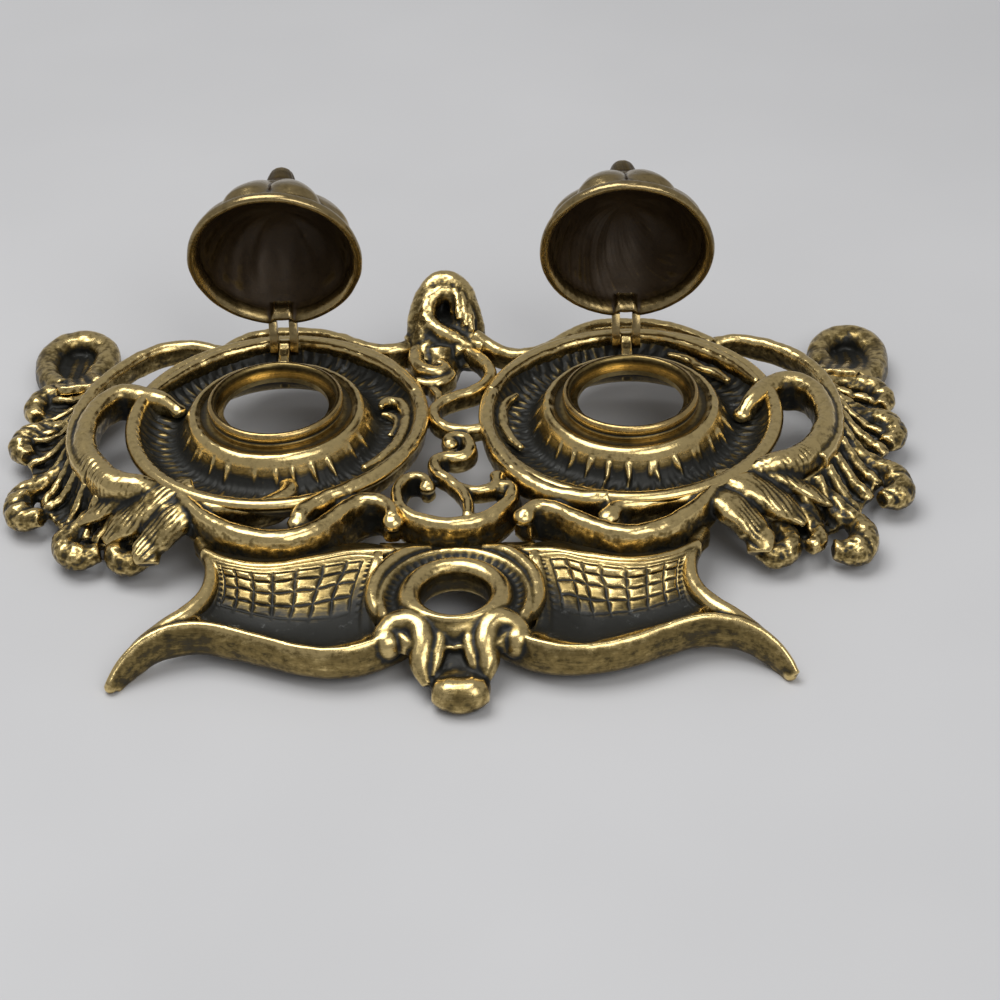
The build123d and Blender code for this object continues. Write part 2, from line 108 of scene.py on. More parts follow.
def corners(obj):
    """The mesh's points as an array in millimetres."""
    co = np.empty(len(obj.data.vertices) * 3)
    obj.data.vertices.foreach_get("co", co)
    return co.reshape(-1, 3) / MM


def set_corners(obj, co):
    """Moves the mesh's points to places given in millimetres."""
    obj.data.vertices.foreach_set("co", (co * MM).ravel())
    obj.data.update()
    return obj


def normals(obj):
    """The directions that the mesh's points face."""
    n = np.empty(len(obj.data.vertices) * 3)
    obj.data.vertices.foreach_get("normal", n)
    return n.reshape(-1, 3)


def close_mesh(obj, distance=0.02):
    """Merges doubles and turns all faces outwards."""
    activate(obj)
    bpy.ops.object.mode_set(mode="EDIT")
    bpy.ops.mesh.select_all(action="SELECT")
    bpy.ops.mesh.remove_doubles(threshold=distance * MM)
    bpy.ops.mesh.normals_make_consistent(inside=False)
    bpy.ops.object.mode_set(mode="OBJECT")
    return obj


def smooth_line(points, count):
    """Points on a smooth line through the given ones."""
    p = np.array(points, float)
    p = np.concatenate([[2 * p[0] - p[1]], p, [2 * p[-1] - p[-2]]])
    t = np.linspace(0, len(points) - 1 - 1e-9, count)
    i = t.astype(int)
    f = (t - i).reshape((-1,) + (1,) * (p.ndim - 1))
    a, b, c, d = p[i], p[i + 1], p[i + 2], p[i + 3]
    return b + 0.5 * f * (c - a + f * (2 * a - 5 * b + 4 * c - d + f * (3 * (b - c) + d - a)))


def round_axis(co, x, y=0.0):
    """The points' offsets from an upright axis: x and y apart, distance and angle."""
    px, py = co[:, 0] - x, co[:, 1] - WELL_Y - y
    return px, py, np.hypot(px, py), np.arctan2(py, px)


def ramp(value, start, length):
    """0 up to start, then rising straight to 1 over the length; a negative length runs back."""
    return np.clip((value - start) / length, 0, 1)


def hump(value, middle, width, power=2):
    """A smooth hump of height 1 about a middle value."""
    return np.exp(-((value - middle) / width) ** power)


def spread(values, count):
    """A run of values stretched over count points."""
    values = np.atleast_1d(np.array(values, float))
    return np.interp(np.linspace(0, 1, count), np.linspace(0, 1, len(values)), values)


def section(name, outline):
    """A closed outline that strands are bevelled with."""
    deselect()
    bpy.ops.curve.primitive_bezier_circle_add()
    obj = bpy.context.object
    obj.name = name
    spline = obj.data.splines[0]
    spline.bezier_points.add(len(outline) - len(spline.bezier_points))
    for knot, (x, y) in zip(spline.bezier_points, outline):
        knot.co = (x, y, 0)
        knot.handle_left_type = knot.handle_right_type = "AUTO"
    spline.resolution_u = 3
    return obj


# sections of the strands: x across, y up, with the crest of a strand at the highest y
SECTIONS = {
    "round": [(1, 0), (0.71, 0.71), (0, 1), (-0.71, 0.71), (-1, 0), (-0.71, -0.71), (0, -1),
              (0.71, -0.71)],
    "cast": [(1, 0), (0.72, 0.7), (0, 1), (-0.72, 0.7), (-1, 0), (-0.95, -1.4), (-0.7, -2.1),
             (0.7, -2.1), (0.95, -1.4)],
    "band": [(0.75, 0.5), (0.45, 0.9), (0, 1), (-0.45, 0.9), (-0.75, 0.5), (-0.95, -1.0),
             (-1.0, -2.9), (1.0, -2.9), (0.95, -1.0)],
    "blade": [(0.15, 1), (0.62, 0.5), (1.05, -0.6), (1.1, -1.9), (0.75, -3.0), (0.1, -3.4),
              (-0.55, -3.0), (-0.8, -1.2), (-0.6, 0.3), (-0.2, 0.9)],
    "slab": [(1, 0), (0.8, 0.3), (0.25, 0.42), (-0.3, 0.38), (-0.8, 0.22), (-1, -0.1),
             (-0.85, -0.6), (0, -0.9), (0.85, -0.6)],
    "roll": [(1, 0), (0.75, 0.7), (0, 1), (-0.75, 0.7), (-1, 0), (-0.9, -1.0), (-0.6, -1.4),
             (0.6, -1.4), (0.9, -1.0)],
}


def strand(points, r, z=None, shape="round", name="strand"):
    """A cast strand along the line of its crest; r is its half width in mm, at even steps."""
    if shape not in bpy.data.objects:
        section(shape, SECTIONS[shape]).hide_render = True
    deselect()
    bpy.ops.curve.primitive_bezier_curve_add()
    obj = bpy.context.object
    obj.name = name
    spline = obj.data.splines[0]
    spline.bezier_points.add(len(points) - 2)
    sizes = spread(r, len(points))
    peak = max(y for _, y in SECTIONS[shape])
    for knot, point, size in zip(spline.bezier_points, points, sizes):
        crest = point[2] if len(point) > 2 else z
        knot.co = Vector((point[0], point[1] + WELL_Y, crest - size * peak)) * MM
        knot.handle_left_type = knot.handle_right_type = "AUTO"
        knot.radius = size * MM
    obj.data.twist_mode = "Z_UP"
    obj.data.bevel_mode = "OBJECT"
    obj.data.bevel_object = bpy.data.objects[shape]
    obj.data.use_fill_caps = True
    spline.resolution_u = 8
    bpy.ops.object.convert(target="MESH")
    return close_mesh(bpy.context.object, 0.01)


def knob(x, y, z, r, squash=0.75):
    """A rounded button on the end of a scroll."""
    deselect()
    bpy.ops.mesh.primitive_uv_sphere_add(segments=20, ring_count=12, radius=r * MM,
                                         location=Vector((x, y + WELL_Y, z)) * MM)
    obj = bpy.context.object
    obj.scale.z = squash
    bpy.ops.object.transform_apply(location=True, rotation=True, scale=True)
    return obj


def sheet(name, rails, across, along):
    """A sheet without thickness through rails, each a line of as many (x, y, z) points."""
    deselect()
    bpy.ops.mesh.primitive_grid_add(x_subdivisions=across, y_subdivisions=along, size=1)
    obj = bpy.context.object
    obj.name = name
    co = corners(obj) * MM + 0.5
    lines = np.stack([smooth_line(rail, across + 1) for rail in rails])
    surface = smooth_line(lines, along + 1)
    place = surface[np.rint(co[:, 1] * along).astype(int), np.rint(co[:, 0] * across).astype(int)]
    place[:, 1] += WELL_Y
    set_corners(obj, place)
    uv = obj.data.attributes.new("sheet", "FLOAT_VECTOR", "POINT")
    uv.data.foreach_set("vector", np.column_stack([co[:, :2], np.ones(len(co))]).ravel())
    if normals(obj)[:, 2].mean() < 0:
        activate(obj)
        bpy.ops.object.mode_set(mode="EDIT")
        bpy.ops.mesh.select_all(action="SELECT")
        bpy.ops.mesh.flip_normals()
        bpy.ops.object.mode_set(mode="OBJECT")
    return obj


def sheet_places(obj):
    """Where each point of a sheet lies: (share across, share along)."""
    uv = np.empty(len(obj.data.vertices) * 3)
    obj.data.attributes["sheet"].data.foreach_get("vector", uv)
    return uv.reshape(-1, 3)[:, :2].T


def back_sheet(obj, thickness):
    """Gives a carved sheet its thickness in mm, below the carved side."""
    return apply_modifier(obj, "SOLIDIFY", thickness=thickness * MM, offset=-1,
                          use_even_offset=False)


def turned(name, x, profile, steps=160, y=0.0, cuts=4):
    """A solid turned round an upright axis from an outline of (radius, z).

    A third value marks a sharp corner, and an outline that starts on the axis also ends on it.
    """
    deselect()
    bpy.ops.curve.primitive_bezier_circle_add()
    obj = bpy.context.object
    obj.name = name
    spline = obj.data.splines[0]
    spline.bezier_points.add(max(0, len(profile) - len(spline.bezier_points)))
    for knot, point in zip(spline.bezier_points, profile):
        knot.co = Vector((point[0], 0, point[1])) * MM
        kind = "VECTOR" if len(point) > 2 else "AUTO"
        knot.handle_left_type = knot.handle_right_type = kind
    spline.use_cyclic_u = profile[0][0] > 0
    spline.resolution_u = cuts
    obj.data.dimensions = "3D"
    bpy.ops.object.convert(target="MESH")
    obj = bpy.context.object
    co = corners(obj)
    co[:, 0] = np.maximum(co[:, 0], 0)
    set_corners(obj, co)
    apply_modifier(obj, "SCREW", axis="Z", steps=steps, render_steps=steps, use_merge_vertices=True,
                   merge_threshold=0.001 * MM)
    obj.location = Vector((x, y + WELL_Y, 0)) * MM
    activate(obj)
    bpy.ops.object.transform_apply(location=True, rotation=True, scale=True)
    return close_mesh(obj, 0.003)


def ripple(a, b, seed):
    """Smooth uneven waves from -1 to 1 over two coordinates, the same on each run."""
    rng = np.random.default_rng(seed)
    total = np.zeros(np.broadcast(a, b).shape)
    for octave in range(4):
        for _ in range(3):
            k, l = rng.normal(0, 1, 2) * 1.8 ** octave
            total = total + np.sin(k * a + l * b + rng.uniform(0, 6.28)) / (3 * 1.35 ** octave)
    return np.clip(total / 1.2, -1, 1)


def fuse(name, parts, voxel, smooth=3, lumps=0.0, lump_size=3.0, strength=0.5):
    """Joins closed parts into one casting without inner walls and softens its edges."""
    deselect()
    for part in parts:
        part.select_set(True)
    bpy.context.view_layer.objects.active = parts[0]
    bpy.ops.object.join()
    obj = bpy.context.object
    obj.name = name
    bpy.ops.object.transform_apply(location=True, rotation=True, scale=True)
    apply_modifier(obj, "REMESH", mode="VOXEL", voxel_size=voxel * MM, adaptivity=0,
                   use_smooth_shade=True)
    if smooth:
        apply_modifier(obj, "SMOOTH", factor=strength, iterations=smooth)
    if lumps:
        texture = bpy.data.textures.new(name + "_lumps", "CLOUDS")
        texture.noise_scale = lump_size * MM
        texture.noise_depth = 2
        apply_modifier(obj, "DISPLACE", texture=texture, strength=lumps * MM, mid_level=0.5)
    return grind(obj)


def grind(obj):
    """Grinds a casting flat where it would pass the table or the reach of the solids."""
    low, high = np.array(CAD_BOX) / MM
    return set_corners(obj, np.clip(corners(obj), low + GRIND_MARGIN, high - GRIND_MARGIN))


def soften(obj):
    """Shades a piece smooth between its sharp edges."""
    activate(obj)
    bpy.ops.object.shade_smooth_by_angle(angle=LEDGE_ANGLE)
    return obj


# ------------------------------------------------------------------ lines of the casting
SCROLLS = {
    "left": [
        # leaf scroll between the shell and the dish
        dict(points=[(-76, 8, 19), (-81, 10.5), (-87, 13.2), (-92.5, 14.8), (-97, 11), (-100, 3),
                     (-100.5, -5), (-99, -13), (-95, -20.5), (-90, -26.5), (-83, -29),
                     (-76, -28.5, 19)], z=22, r=[1.6, 3.4, 3.3, 2.8, 3.2, 4.0, 4.4, 2.6],
             shape="cast"),
        # thin rail outside it
        dict(points=[(-68, 38), (-76, 41), (-83, 40.5), (-90, 36), (-95.5, 29.5), (-100, 22),
                     (-103, 14), (-104.5, 5), (-104.5, -5), (-102.5, -14), (-98, -23)], z=19.6,
             r=[1.7, 2.3, 2.3, 2.0, 1.6, 1.3], shape="cast"),
        # broad polished band in front of the dish
        dict(points=[(-73, -30), (-67.5, -39), (-60, -46.5), (-52, -51), (-44, -52.5), (-37, -50.5),
                     (-31, -45), (-26, -38.8), (-21, -37), (-16.5, -40), (-15, -45.5)], z=20.6,
             r=[2.0, 2.8, 3.2, 3.3, 3.2, 2.9, 2.2], shape="band"),
        # bars that close the front of the dish
        dict(points=[(-70, -33), (-65, -37.4), (-58, -38.8), (-51, -38.4), (-46.5, -35.6),
                     (-43.5, -32.4), (-43, -29)], z=20.2, r=[1.6, 2.4, 2.5, 2.7, 2.3], shape="cast"),
        # rim of the dish, which runs on to the band
        dict(points=[(-9.5, 8), (-9, -2), (-11.5, -14), (-17.5, -24), (-26, -32.2), (-33, -37),
                     (-38, -41.5), (-39.5, -46)], z=21.6, r=[1.7, 2.0, 2.3, 2.5, 2.7], shape="cast"),
        dict(points=[(-84, 14), (-78.5, 22), (-72, 29), (-62, 35.5), (-50, 38.8), (-38, 37.2),
                     (-27, 31.5), (-17, 22.4), (-10.5, 11)], z=21.4,
             r=[1.2, 2.0, 2.1, 2.1, 2.0, 1.7], shape="cast"),
        # leaf and inner strand inside the rim of the dish
        dict(points=[(-20.5, 7), (-19, 10.6), (-15.8, 10.6), (-13.6, 6.4), (-13.2, 0), (-14.8, -8),
                     (-18.6, -15.4), (-24, -21.6)], z=18.8, r=[0.9, 1.7, 2.1, 2.2, 2.0, 1.7, 1.0]),
        dict(points=[(-20.4, 5.4), (-17.4, 4.4), (-15.6, 0.6), (-17.6, -5.6)], z=17.9,
             r=[0.8, 1.2, 1.1, 0.7], shape="round"),
        # scroll behind the dish and its arm to the crest
        dict(points=[(-66, 36.5), (-61.5, 41.5), (-54, 44.6), (-44, 44.8), (-34, 41.6), (-26, 36.8),
                     (-19, 35.2), (-12.5, 38.6), (-8, 44, 23)], z=20.6,
             r=[2.0, 2.8, 2.7, 2.4, 2.5, 2.8], shape="cast"),
    ],
    "right": [
        dict(points=[(78.5, 0, 19), (82, 5), (87, 11.5), (92.5, 14.2), (97.5, 11.5), (100.5, 4),
                     (101, -4), (99.5, -11), (96.5, -17), (91, -22.4), (84, -25.5),
                     (77, -27.5, 19)], z=22, r=[1.8, 3.2, 3.6, 3.0, 3.0, 3.6, 3.8, 2.6],
             shape="cast"),
        dict(points=[(74, 37), (80, 38), (87, 36), (94, 31.5), (99.6, 24.6), (103, 16.5),
                     (104.8, 6.5), (104.6, -4), (102.4, -14), (98.5, -22)], z=19.6,
             r=[1.7, 2.2, 2.2, 1.9, 1.6, 1.3], shape="cast"),
        dict(points=[(71, -31), (66, -39.5), (60, -46.5), (53, -51.4), (45.5, -53.2), (38.5, -50.6),
                     (32, -46), (26.5, -42), (21.5, -41.8), (18.8, -45)], z=20.6,
             r=[2.0, 2.8, 3.2, 3.3, 3.2, 2.9, 2.4], shape="band"),
        dict(points=[(69, -33), (63.5, -37.4), (56.5, -38.6), (49.5, -40.2), (43.5, -41.4),
                     (40.8, -45.5)], z=20.2, r=[1.8, 2.3, 2.4, 2.6, 2.8], shape="cast"),
        dict(points=[(41, -39), (35, -38.8), (28, -37), (20, -30.6), (14, -21.5), (10.2, -10.5),
                     (9.2, 2), (10.5, 10)], z=21.6, r=[2.6, 2.4, 2.3, 2.2, 2.0, 1.7], shape="cast"),
        dict(points=[(10, 11), (16.6, 22.6), (27, 31.8), (38, 37), (50, 38.8), (61, 36.4), (71, 30),
                     (79, 21.6), (84, 13)], z=21.4, r=[1.7, 2.1, 2.1, 2.1, 2.0, 1.3], shape="cast"),
        dict(points=[(60, 30.6), (65.6, 28.4), (69.6, 23), (73, 21.4), (76.4, 16)], z=19.2,
             r=[0.8, 1.5, 1.2, 1.6, 0.9], shape="round"),
        dict(points=[(59, 26), (63.6, 24), (66.4, 19.6), (70.6, 17)], z=17.8,
             r=[0.8, 1.4, 1.4, 0.8]),
        dict(points=[(17.6, 12.6), (13.8, 8), (13.2, 1), (15, -7), (18.6, -14)], z=18.8,
             r=[0.9, 2.0, 1.9, 0.9], shape="round"),
        dict(points=[(5, 37.4, 24), (8.6, 35.4, 22.2), (14, 32.6), (20, 31.6), (26, 34.4), (33, 41),
                     (40, 45.4), (49, 46.2), (58, 44.8), (66, 40.8), (73, 34.6)], z=20.6,
             r=[2.3, 2.2, 2.4, 2.6, 2.7, 2.2], shape="cast"),
    ],
    "middle": [
        # open C above the ring of the pen tray
        dict(points=[(-6, -31), (-7.6, -27.6), (-11, -27), (-13.8, -30.6), (-14.2, -36.5),
                     (-12, -42), (-7.5, -45.6), (-2, -47.4), (4, -47.2), (9, -45), (13.4, -40.8),
                     (15.8, -36), (15.4, -32), (12.8, -31.4)], z=20,
             r=[1.7, 1.7, 2.0, 2.4, 2.7, 2.6, 2.2, 1.8], shape="band"),
        dict(points=[(4.6, -45.5), (4.4, -40), (2.6, -34.6), (-0.6, -29.6), (-4, -25.2),
                     (-4.6, -21), (-2, -18.6), (1.6, -19), (4.4, -16.8), (4.4, -12.6), (1.6, -9.4),
                     (-1.2, -10.6), (-0.8, -12.8)], z=20.6, r=[1.5, 1.6, 1.7, 1.9, 1.9, 1.7, 1.9],
             shape="cast"),
        dict(points=[(-0.8, -29.5), (3.4, -33), (8, -33.8), (11.6, -31.4), (12.2, -27.6)],
             z=20.2, r=[1.5, 1.6, 1.6, 1.7, 2.0], shape="cast"),
        # loops between the dishes
        dict(points=[(8.5, -5), (3, -6), (-2.4, -4), (-5.4, 1), (-4.4, 6.4), (0, 10.4), (5, 13),
                     (8.6, 17.4), (9.8, 22.5), (8, 28), (4.4, 33), (1, 37)], z=20.4,
             r=[1.6, 1.8, 1.8, 1.9, 2.0, 2.1], shape="cast"),
        dict(points=[(-9, 37), (-11, 32.5), (-10.6, 27), (-8, 23.4), (-4.6, 22.6), (-3.2, 25),
                     (-5, 27)], z=21, r=[3.0, 2.6, 2.2, 1.9, 1.7], shape="cast"),
        dict(points=[(-11, 20), (-7.4, 18.6), (-3.6, 19.4), (-1.4, 22.6), (-2.6, 26.4), (-4.4, 31)],
             z=19.4, r=[1.4, 1.6, 1.7, 1.9, 2.4], shape="cast"),
        dict(points=[(-8, 2), (-5.4, 7), (-4.4, 12), (-6.4, 17)], z=18.6, r=[1.4, 1.6, 1.6, 1.4],
             shape="cast"),
    ],
}
BUTTONS = {
    "left": [(-76.6, 8.2, 17.6, 2.5), (-76.4, -28.2, 17.6, 3.0), (-43.2, -29.2, 17.9, 2.8),
             (-39.4, -46.5, 18.6, 3.0), (-68, 38, 17.6, 2.4), (-15, -45.4, 17.6, 3.0)],
    "right": [(79, 0.8, 17.4, 2.8), (77.6, -27.4, 17.6, 3.0), (40.9, -45.2, 17.8, 3.1),
              (40.8, -38.9, 18.6, 2.9), (74.2, 37, 17.6, 2.3), (19, -44.6, 17.8, 3.0)],
    "middle": [(-6.4, -30.4, 17.7, 2.4), (13.4, -31.6, 17.8, 2.5), (12.2, -27.4, 18.4, 2.3),
               (-0.7, -12.2, 18.6, 2.3), (-4.6, 26.4, 19.0, 2.1)],
}

# shells: the line where the flutes leave the rail, their hem, and the lobes beyond it
SHELL = {
    "left": dict(
        inner=[(-90, 38.5, 15.6), (-99, 27, 16.6), (-104, 13, 17.2), (-105, -3, 17.2),
               (-101, -18, 16.8), (-92, -29, 16.4), (-80, -34, 15.6)],
        hem=[(-109, 38, 8.2), (-116, 26, 8.6), (-118.4, 9, 8.2), (-116, -9, 8.0),
             (-109.4, -24, 7.6), (-98.6, -35, 7.2), (-84, -41.6, 7.2)],
        lobes=[[(-104, 29, 13), (-111, 32, 11.4), (-117.4, 31, 11.4), (-120.4, 26, 11),
                (-119.6, 20.4, 10.2)],
               [(-106, 12, 13), (-113, 13.4, 11), (-119, 11.6, 11.6), (-121.4, 6.4, 11),
                (-118.6, 1.4, 9.8)],
               [(-105, -6, 12.6), (-111.6, -11.6, 10.8), (-117.6, -17, 10.8), (-117, -23.6, 10.2),
                (-110.6, -26.2, 9.4)],
               [(-94, -25, 12.4), (-99.4, -31.6, 10.4), (-103, -37.4, 10), (-99.6, -42, 9.6),
                (-93, -41, 8.8)],
               [(-84, -32, 12), (-87.6, -38, 10.2), (-88.6, -43, 10), (-84.6, -45.8, 9.4),
                (-80, -44, 8.8)]],
        sizes=[[1.4, 2.4, 3.4, 3.8, 2.2], [1.6, 2.6, 3.8, 4.0, 2.4], [1.6, 2.6, 3.8, 4.2, 2.4],
               [1.6, 2.6, 3.6, 3.8, 2.4], [1.4, 2.4, 3.4, 3.4, 2.2]],
        fingers=[(0.03, 1.2, 0.02), (0.10, 0.9, -0.02), (0.17, 1.0, -0.02), (0.24, 0.8, 0.04),
                 (0.31, 1.0, 0.04), (0.38, 0.8, -0.03), (0.45, 1.0, 0.0), (0.52, 0.9, 0.05),
                 (0.59, 1.0, 0.05), (0.66, 1.1, 0.0), (0.73, 1.0, 0.05), (0.80, 1.4, 0.05),
                 (0.88, 1.3, 0.0), (0.96, 1.6, 0.0)],
        slots=[(0.845, 0.02, 0.4, 0.9)]),
    "right": dict(
        inner=[(92, 36, 15.6), (99.6, 26, 16.6), (104.6, 13, 17.2), (105.4, -3, 17.2),
               (101.6, -17, 16.8), (94, -27, 16.4), (82, -33, 15.6)],
        hem=[(110, 34, 8.2), (116.4, 24, 8.6), (119, 8, 8.2), (116.6, -9, 8.0), (111.4, -24, 7.6),
             (101, -37, 7.2), (86, -43, 7.2)],
        lobes=[[(104, 26, 13), (111, 28, 11.4), (117.4, 26.8, 11.4), (120.6, 21.8, 11),
                (119.4, 16.4, 10.2)],
               [(106, 10, 13), (113, 11, 11), (119, 9.4, 11.8), (121.2, 4.2, 11.2), (118.8, -1, 10)],
               [(107, -5, 12.6), (113.6, -10.6, 10.8), (119, -15.8, 11), (119.6, -22, 10.4),
                (114.4, -25.4, 9.4)],
               [(99, -26, 12.4), (104.4, -33, 10.4), (108, -39.8, 10.2), (105.6, -45.6, 9.8),
                (99.4, -46, 9)],
               [(91, -30, 12), (94.8, -38.6, 10), (95.6, -43.6, 9.8), (93, -46.2, 9.2)],
               [(83, -33, 12), (87, -40, 10.2), (88, -45.2, 10), (84.4, -47.8, 9.4),
                (79.6, -46, 8.8)]],
        sizes=[[1.4, 2.4, 3.4, 3.8, 2.2], [1.6, 2.6, 3.9, 4.1, 2.4], [1.6, 2.6, 3.8, 4.2, 2.4],
               [1.6, 2.8, 3.9, 4.3, 2.6], [1.4, 2.0, 2.6, 2.0], [1.4, 2.4, 3.4, 3.4, 2.2]],
        fingers=[(0.04, 1.3, 0.02), (0.12, 1.5, 0.03), (0.20, 1.3, 0.03), (0.28, 1.6, 0.03),
                 (0.36, 1.2, 0.03), (0.43, 1.6, 0.03), (0.50, 1.3, 0.04), (0.57, 1.7, 0.04),
                 (0.65, 1.8, 0.03), (0.72, 1.7, 0.03), (0.79, 1.8, 0.02), (0.87, 1.9, 0.02),
                 (0.96, 2.0, 0.0)],
        slots=[(0.25, 0.016, 0.25, 0.7), (0.47, 0.017, 0.3, 0.8), (0.62, 0.016, 0.3, 0.8),
               (0.76, 0.02, 0.35, 0.9), (0.84, 0.018, 0.35, 0.85)]),
}

# leaves at the front corners, laid over the start of the shells
LEAVES = {
    "left": [([(-68, -30, 20.4), (-77, -32.5, 20), (-86, -36.5, 15), (-92, -40.4, 10)],
              [3.4, 6.0, 5.2, 1.6]),
             ([(-66, -36, 20), (-72.6, -39.6, 18.6), (-78, -43.6, 14), (-80.6, -47, 10.5)],
              [3.4, 5.4, 4.6, 1.8]),
             ([(-77, -41, 14), (-79.6, -45.6, 12.6), (-79.4, -49, 9.6)], [2.4, 4.2, 3.2]),
             ([(-76, -27, 21), (-86, -29, 18.4), (-95, -31.5, 13.5), (-100, -33, 10)],
              [2.4, 3.4, 2.8, 1.2])],
    "right": [([(69, -30, 20.4), (78, -31.5, 20), (87, -35, 15), (93, -38.4, 10)],
               [3.4, 6.0, 5.2, 1.6]),
              ([(67, -36, 20), (73.6, -39.6, 18.6), (79, -43.6, 14), (81.4, -47, 10.5)],
               [3.4, 5.4, 4.6, 1.8]),
              ([(77.6, -41, 14), (80.2, -45.6, 12.6), (79.8, -49.4, 9.6)], [2.4, 4.2, 3.2]),
              ([(77, -26, 21), (87, -27, 18.4), (96, -29.5, 13.5), (101, -31, 10)],
               [2.4, 3.4, 2.8, 1.2])],
}

# pen tray: lines from the back border over the trough to the foot of the front rail
TROUGH = [
    [(-66.5, -47, 12.6), (-58, -50, 12.8), (-47, -52, 13.2), (-34, -50.5, 13.4), (-24, -48.5, 13.6),
     (-15, -50.6, 13.6)],
    [(-63.6, -52.4, 14.2), (-57, -56.4, 14.8), (-47, -58.6, 15), (-35, -56.6, 15), (-25, -54, 15),
     (-17, -54.6, 15)],
    [(-61.8, -56.8, 14.4), (-55.4, -60.4, 15), (-46.6, -62.6, 15.2), (-35.6, -60.6, 15.2),
     (-25, -57.8, 15), (-17.4, -58.6, 14.8)],
    [(-61.2, -60, 12.8), (-54.6, -63, 13.2), (-46.4, -65.4, 13.2), (-36, -64, 13.4),
     (-26, -61.6, 13.4), (-18.4, -62, 13.6)],
    [(-61.2, -64, 11.4), (-54.4, -67.4, 11.2), (-46.4, -69.6, 11), (-37, -69.6, 11.2),
     (-27.6, -67.6, 11.4), (-18.6, -67, 12.4)],
    [(-61.8, -68.6, 10.6), (-55, -71.8, 9.8), (-46.6, -74, 9.2), (-38, -75.6, 9.2),
     (-28.6, -75, 9.4), (-19.2, -73.4, 11.2)],
    [(-63.4, -72.6, 10.8), (-56.6, -75.6, 9.6), (-47.4, -78.4, 8.8), (-38.6, -81.6, 8.8),
     (-29, -83, 9), (-18.4, -79.6, 10.4)],
    [(-65.4, -75.4, 12), (-58, -78.6, 11.2), (-48.4, -82, 10.8), (-39, -85.4, 10.8),
     (-29, -87.2, 11), (-16.4, -83.8, 11.6)],
]
# front rail and horn of each side, from left to right: (x, y, z of the crest, half width)
BLADES = {
    "left": [(-84.6, -90.6, 3.8, 1.6), (-82.4, -87.6, 7.0, 1.9), (-79, -84.6, 9.8, 2.1),
             (-74.6, -82, 12, 2.2), (-69, -80, 13.2, 2.35), (-62, -79.4, 13.4, 2.35),
             (-54, -81.4, 13, 2.3), (-45, -85, 12.7, 2.2), (-36, -88.2, 12.5, 2.15),
             (-28, -89.3, 12.5, 2.2), (-20, -87.4, 12.8, 2.35), (-13.5, -83.4, 13.4, 2.5),
             (-7.5, -80, 14, 2.3)],
    "right": [(10.5, -80.8, 14, 2.3), (15.5, -83.8, 13.4, 2.5), (22, -87.8, 12.8, 2.35),
              (30, -89.8, 12.5, 2.2), (38, -89.2, 12.5, 2.15), (46, -86.8, 12.7, 2.2),
              (54, -83, 13, 2.3), (62, -80.2, 13.4, 2.35), (69, -80.4, 13.2, 2.35),
              (75, -82.2, 12, 2.2), (79.8, -84.8, 9.8, 2.1), (83.4, -88, 7.0, 1.9),
              (85.6, -91, 3.8, 1.6)],
}
CURL = {"left": [(-103, 33, 13), (-106.5, 41, 9.8), (-104.6, 49.6, 9), (-104.8, 57, 9.2),
                 (-109, 61.8, 9.6), (-115, 62.2, 9.6), (-119.6, 58, 9.4), (-121, 50.6, 9.2),
                 (-119.2, 42.6, 10), (-114, 34.5, 11.4)],
        "right": [(104, 31, 13), (107, 38.6, 9.8), (105.4, 45.6, 9), (107, 52.4, 9.2),
                  (111.8, 56.4, 9.6), (117.4, 55.8, 9.6), (120.6, 51, 9.4), (121.2, 44, 9.2),
                  (119.4, 36.6, 10), (114.5, 29.5, 11.4)]}


# heights along a shell's fingers over its web, by share of the way from rail to hem
FINGER_RISE = ((0.02, 0.2), (0.22, -0.9), (0.45, -1.3), (0.68, -0.6), (0.9, 1.0), (1.04, 1.2))
# outline of a dish, as (radius, z), a third value marks a sharp corner
DISH_PROFILE = [(14.4, 23.8, 1), (14.4, 22.4, 1), (17.6, 21.2), (20.6, 19), (23.4, 15.4),
                (25.6, 12.7, 1), (30, 12.6), (35, 12.7), (38.4, 14.6), (40.8, 17.6), (41.6, 19.4),
                (40.9, 20.8), (39.4, 21.2), (38, 20.6), (36.8, 18.6), (34.6, 16.4), (31.6, 15.6),
                (28.6, 15.7), (26.6, 17.4), (25.2, 19.8), (24.4, 21.8), (23.6, 23), (22.4, 23.6),
                (21.2, 23.2), (20.3, 22.7), (18.4, 22.75), (17.1, 22.8, 1), (17.1, 23.8, 1)]
# outline of a hinge lug across the hinge, as (y, z)
LUG_OUTLINE = [(21.5, 20.5), (24.4, 22.8), (27.2, 23.0), (29.2, 23.9), (30.3, 24.9), (31.5, 25.3),
               (32.7, 25.0), (33.6, 24.1), (33.9, 22.9), (33.4, 21.3), (31.6, 19.2), (30.0, 16.4),
               (27.5, 14.2), (23.5, 14.2)]
# outline of a lid from the tip of its finial round the rim and up inside, as (radius, height)
LID_PROFILE = [(0, 37.5, 1), (1.9, 37.3), (3.0, 36.5), (3.7, 34.8), (4.1, 33.0), (4.4, 31.4),
               (4.6, 30.0), (5.2, 28.6), (6.4, 27.0), (7.8, 25.0), (9.8, 22.6), (13.2, 19.0),
               (16.9, 14.6), (19.6, 10.2), (20.9, 6.6), (21.6, 4.8), (23.0, 3.6), (23.9, 2.2),
               (23.8, 0.6), (23, 0.1), (22.2, 0.4), (21.0, 2.4), (20.5, 4.4), (19.6, 6.4),
               (17.2, 10.6), (14.2, 14.8), (10.4, 18.4), (6, 20.8), (0, 21.8, 1)]
COLLAR_PROFILE = [(17.25, 22.82, 1), (18.5, 22.82, 1), (18.5, 23.8), (18.2, 24.2), (18.45, 24.7),
                  (18.55, 25.8), (18.2, 26.6), (17.5, 26.95), (16.9, 26.7), (16.55, 26.2),
                  (16.45, 25.4), (16.45, 23.82, 1), (17.25, 23.82, 1)]
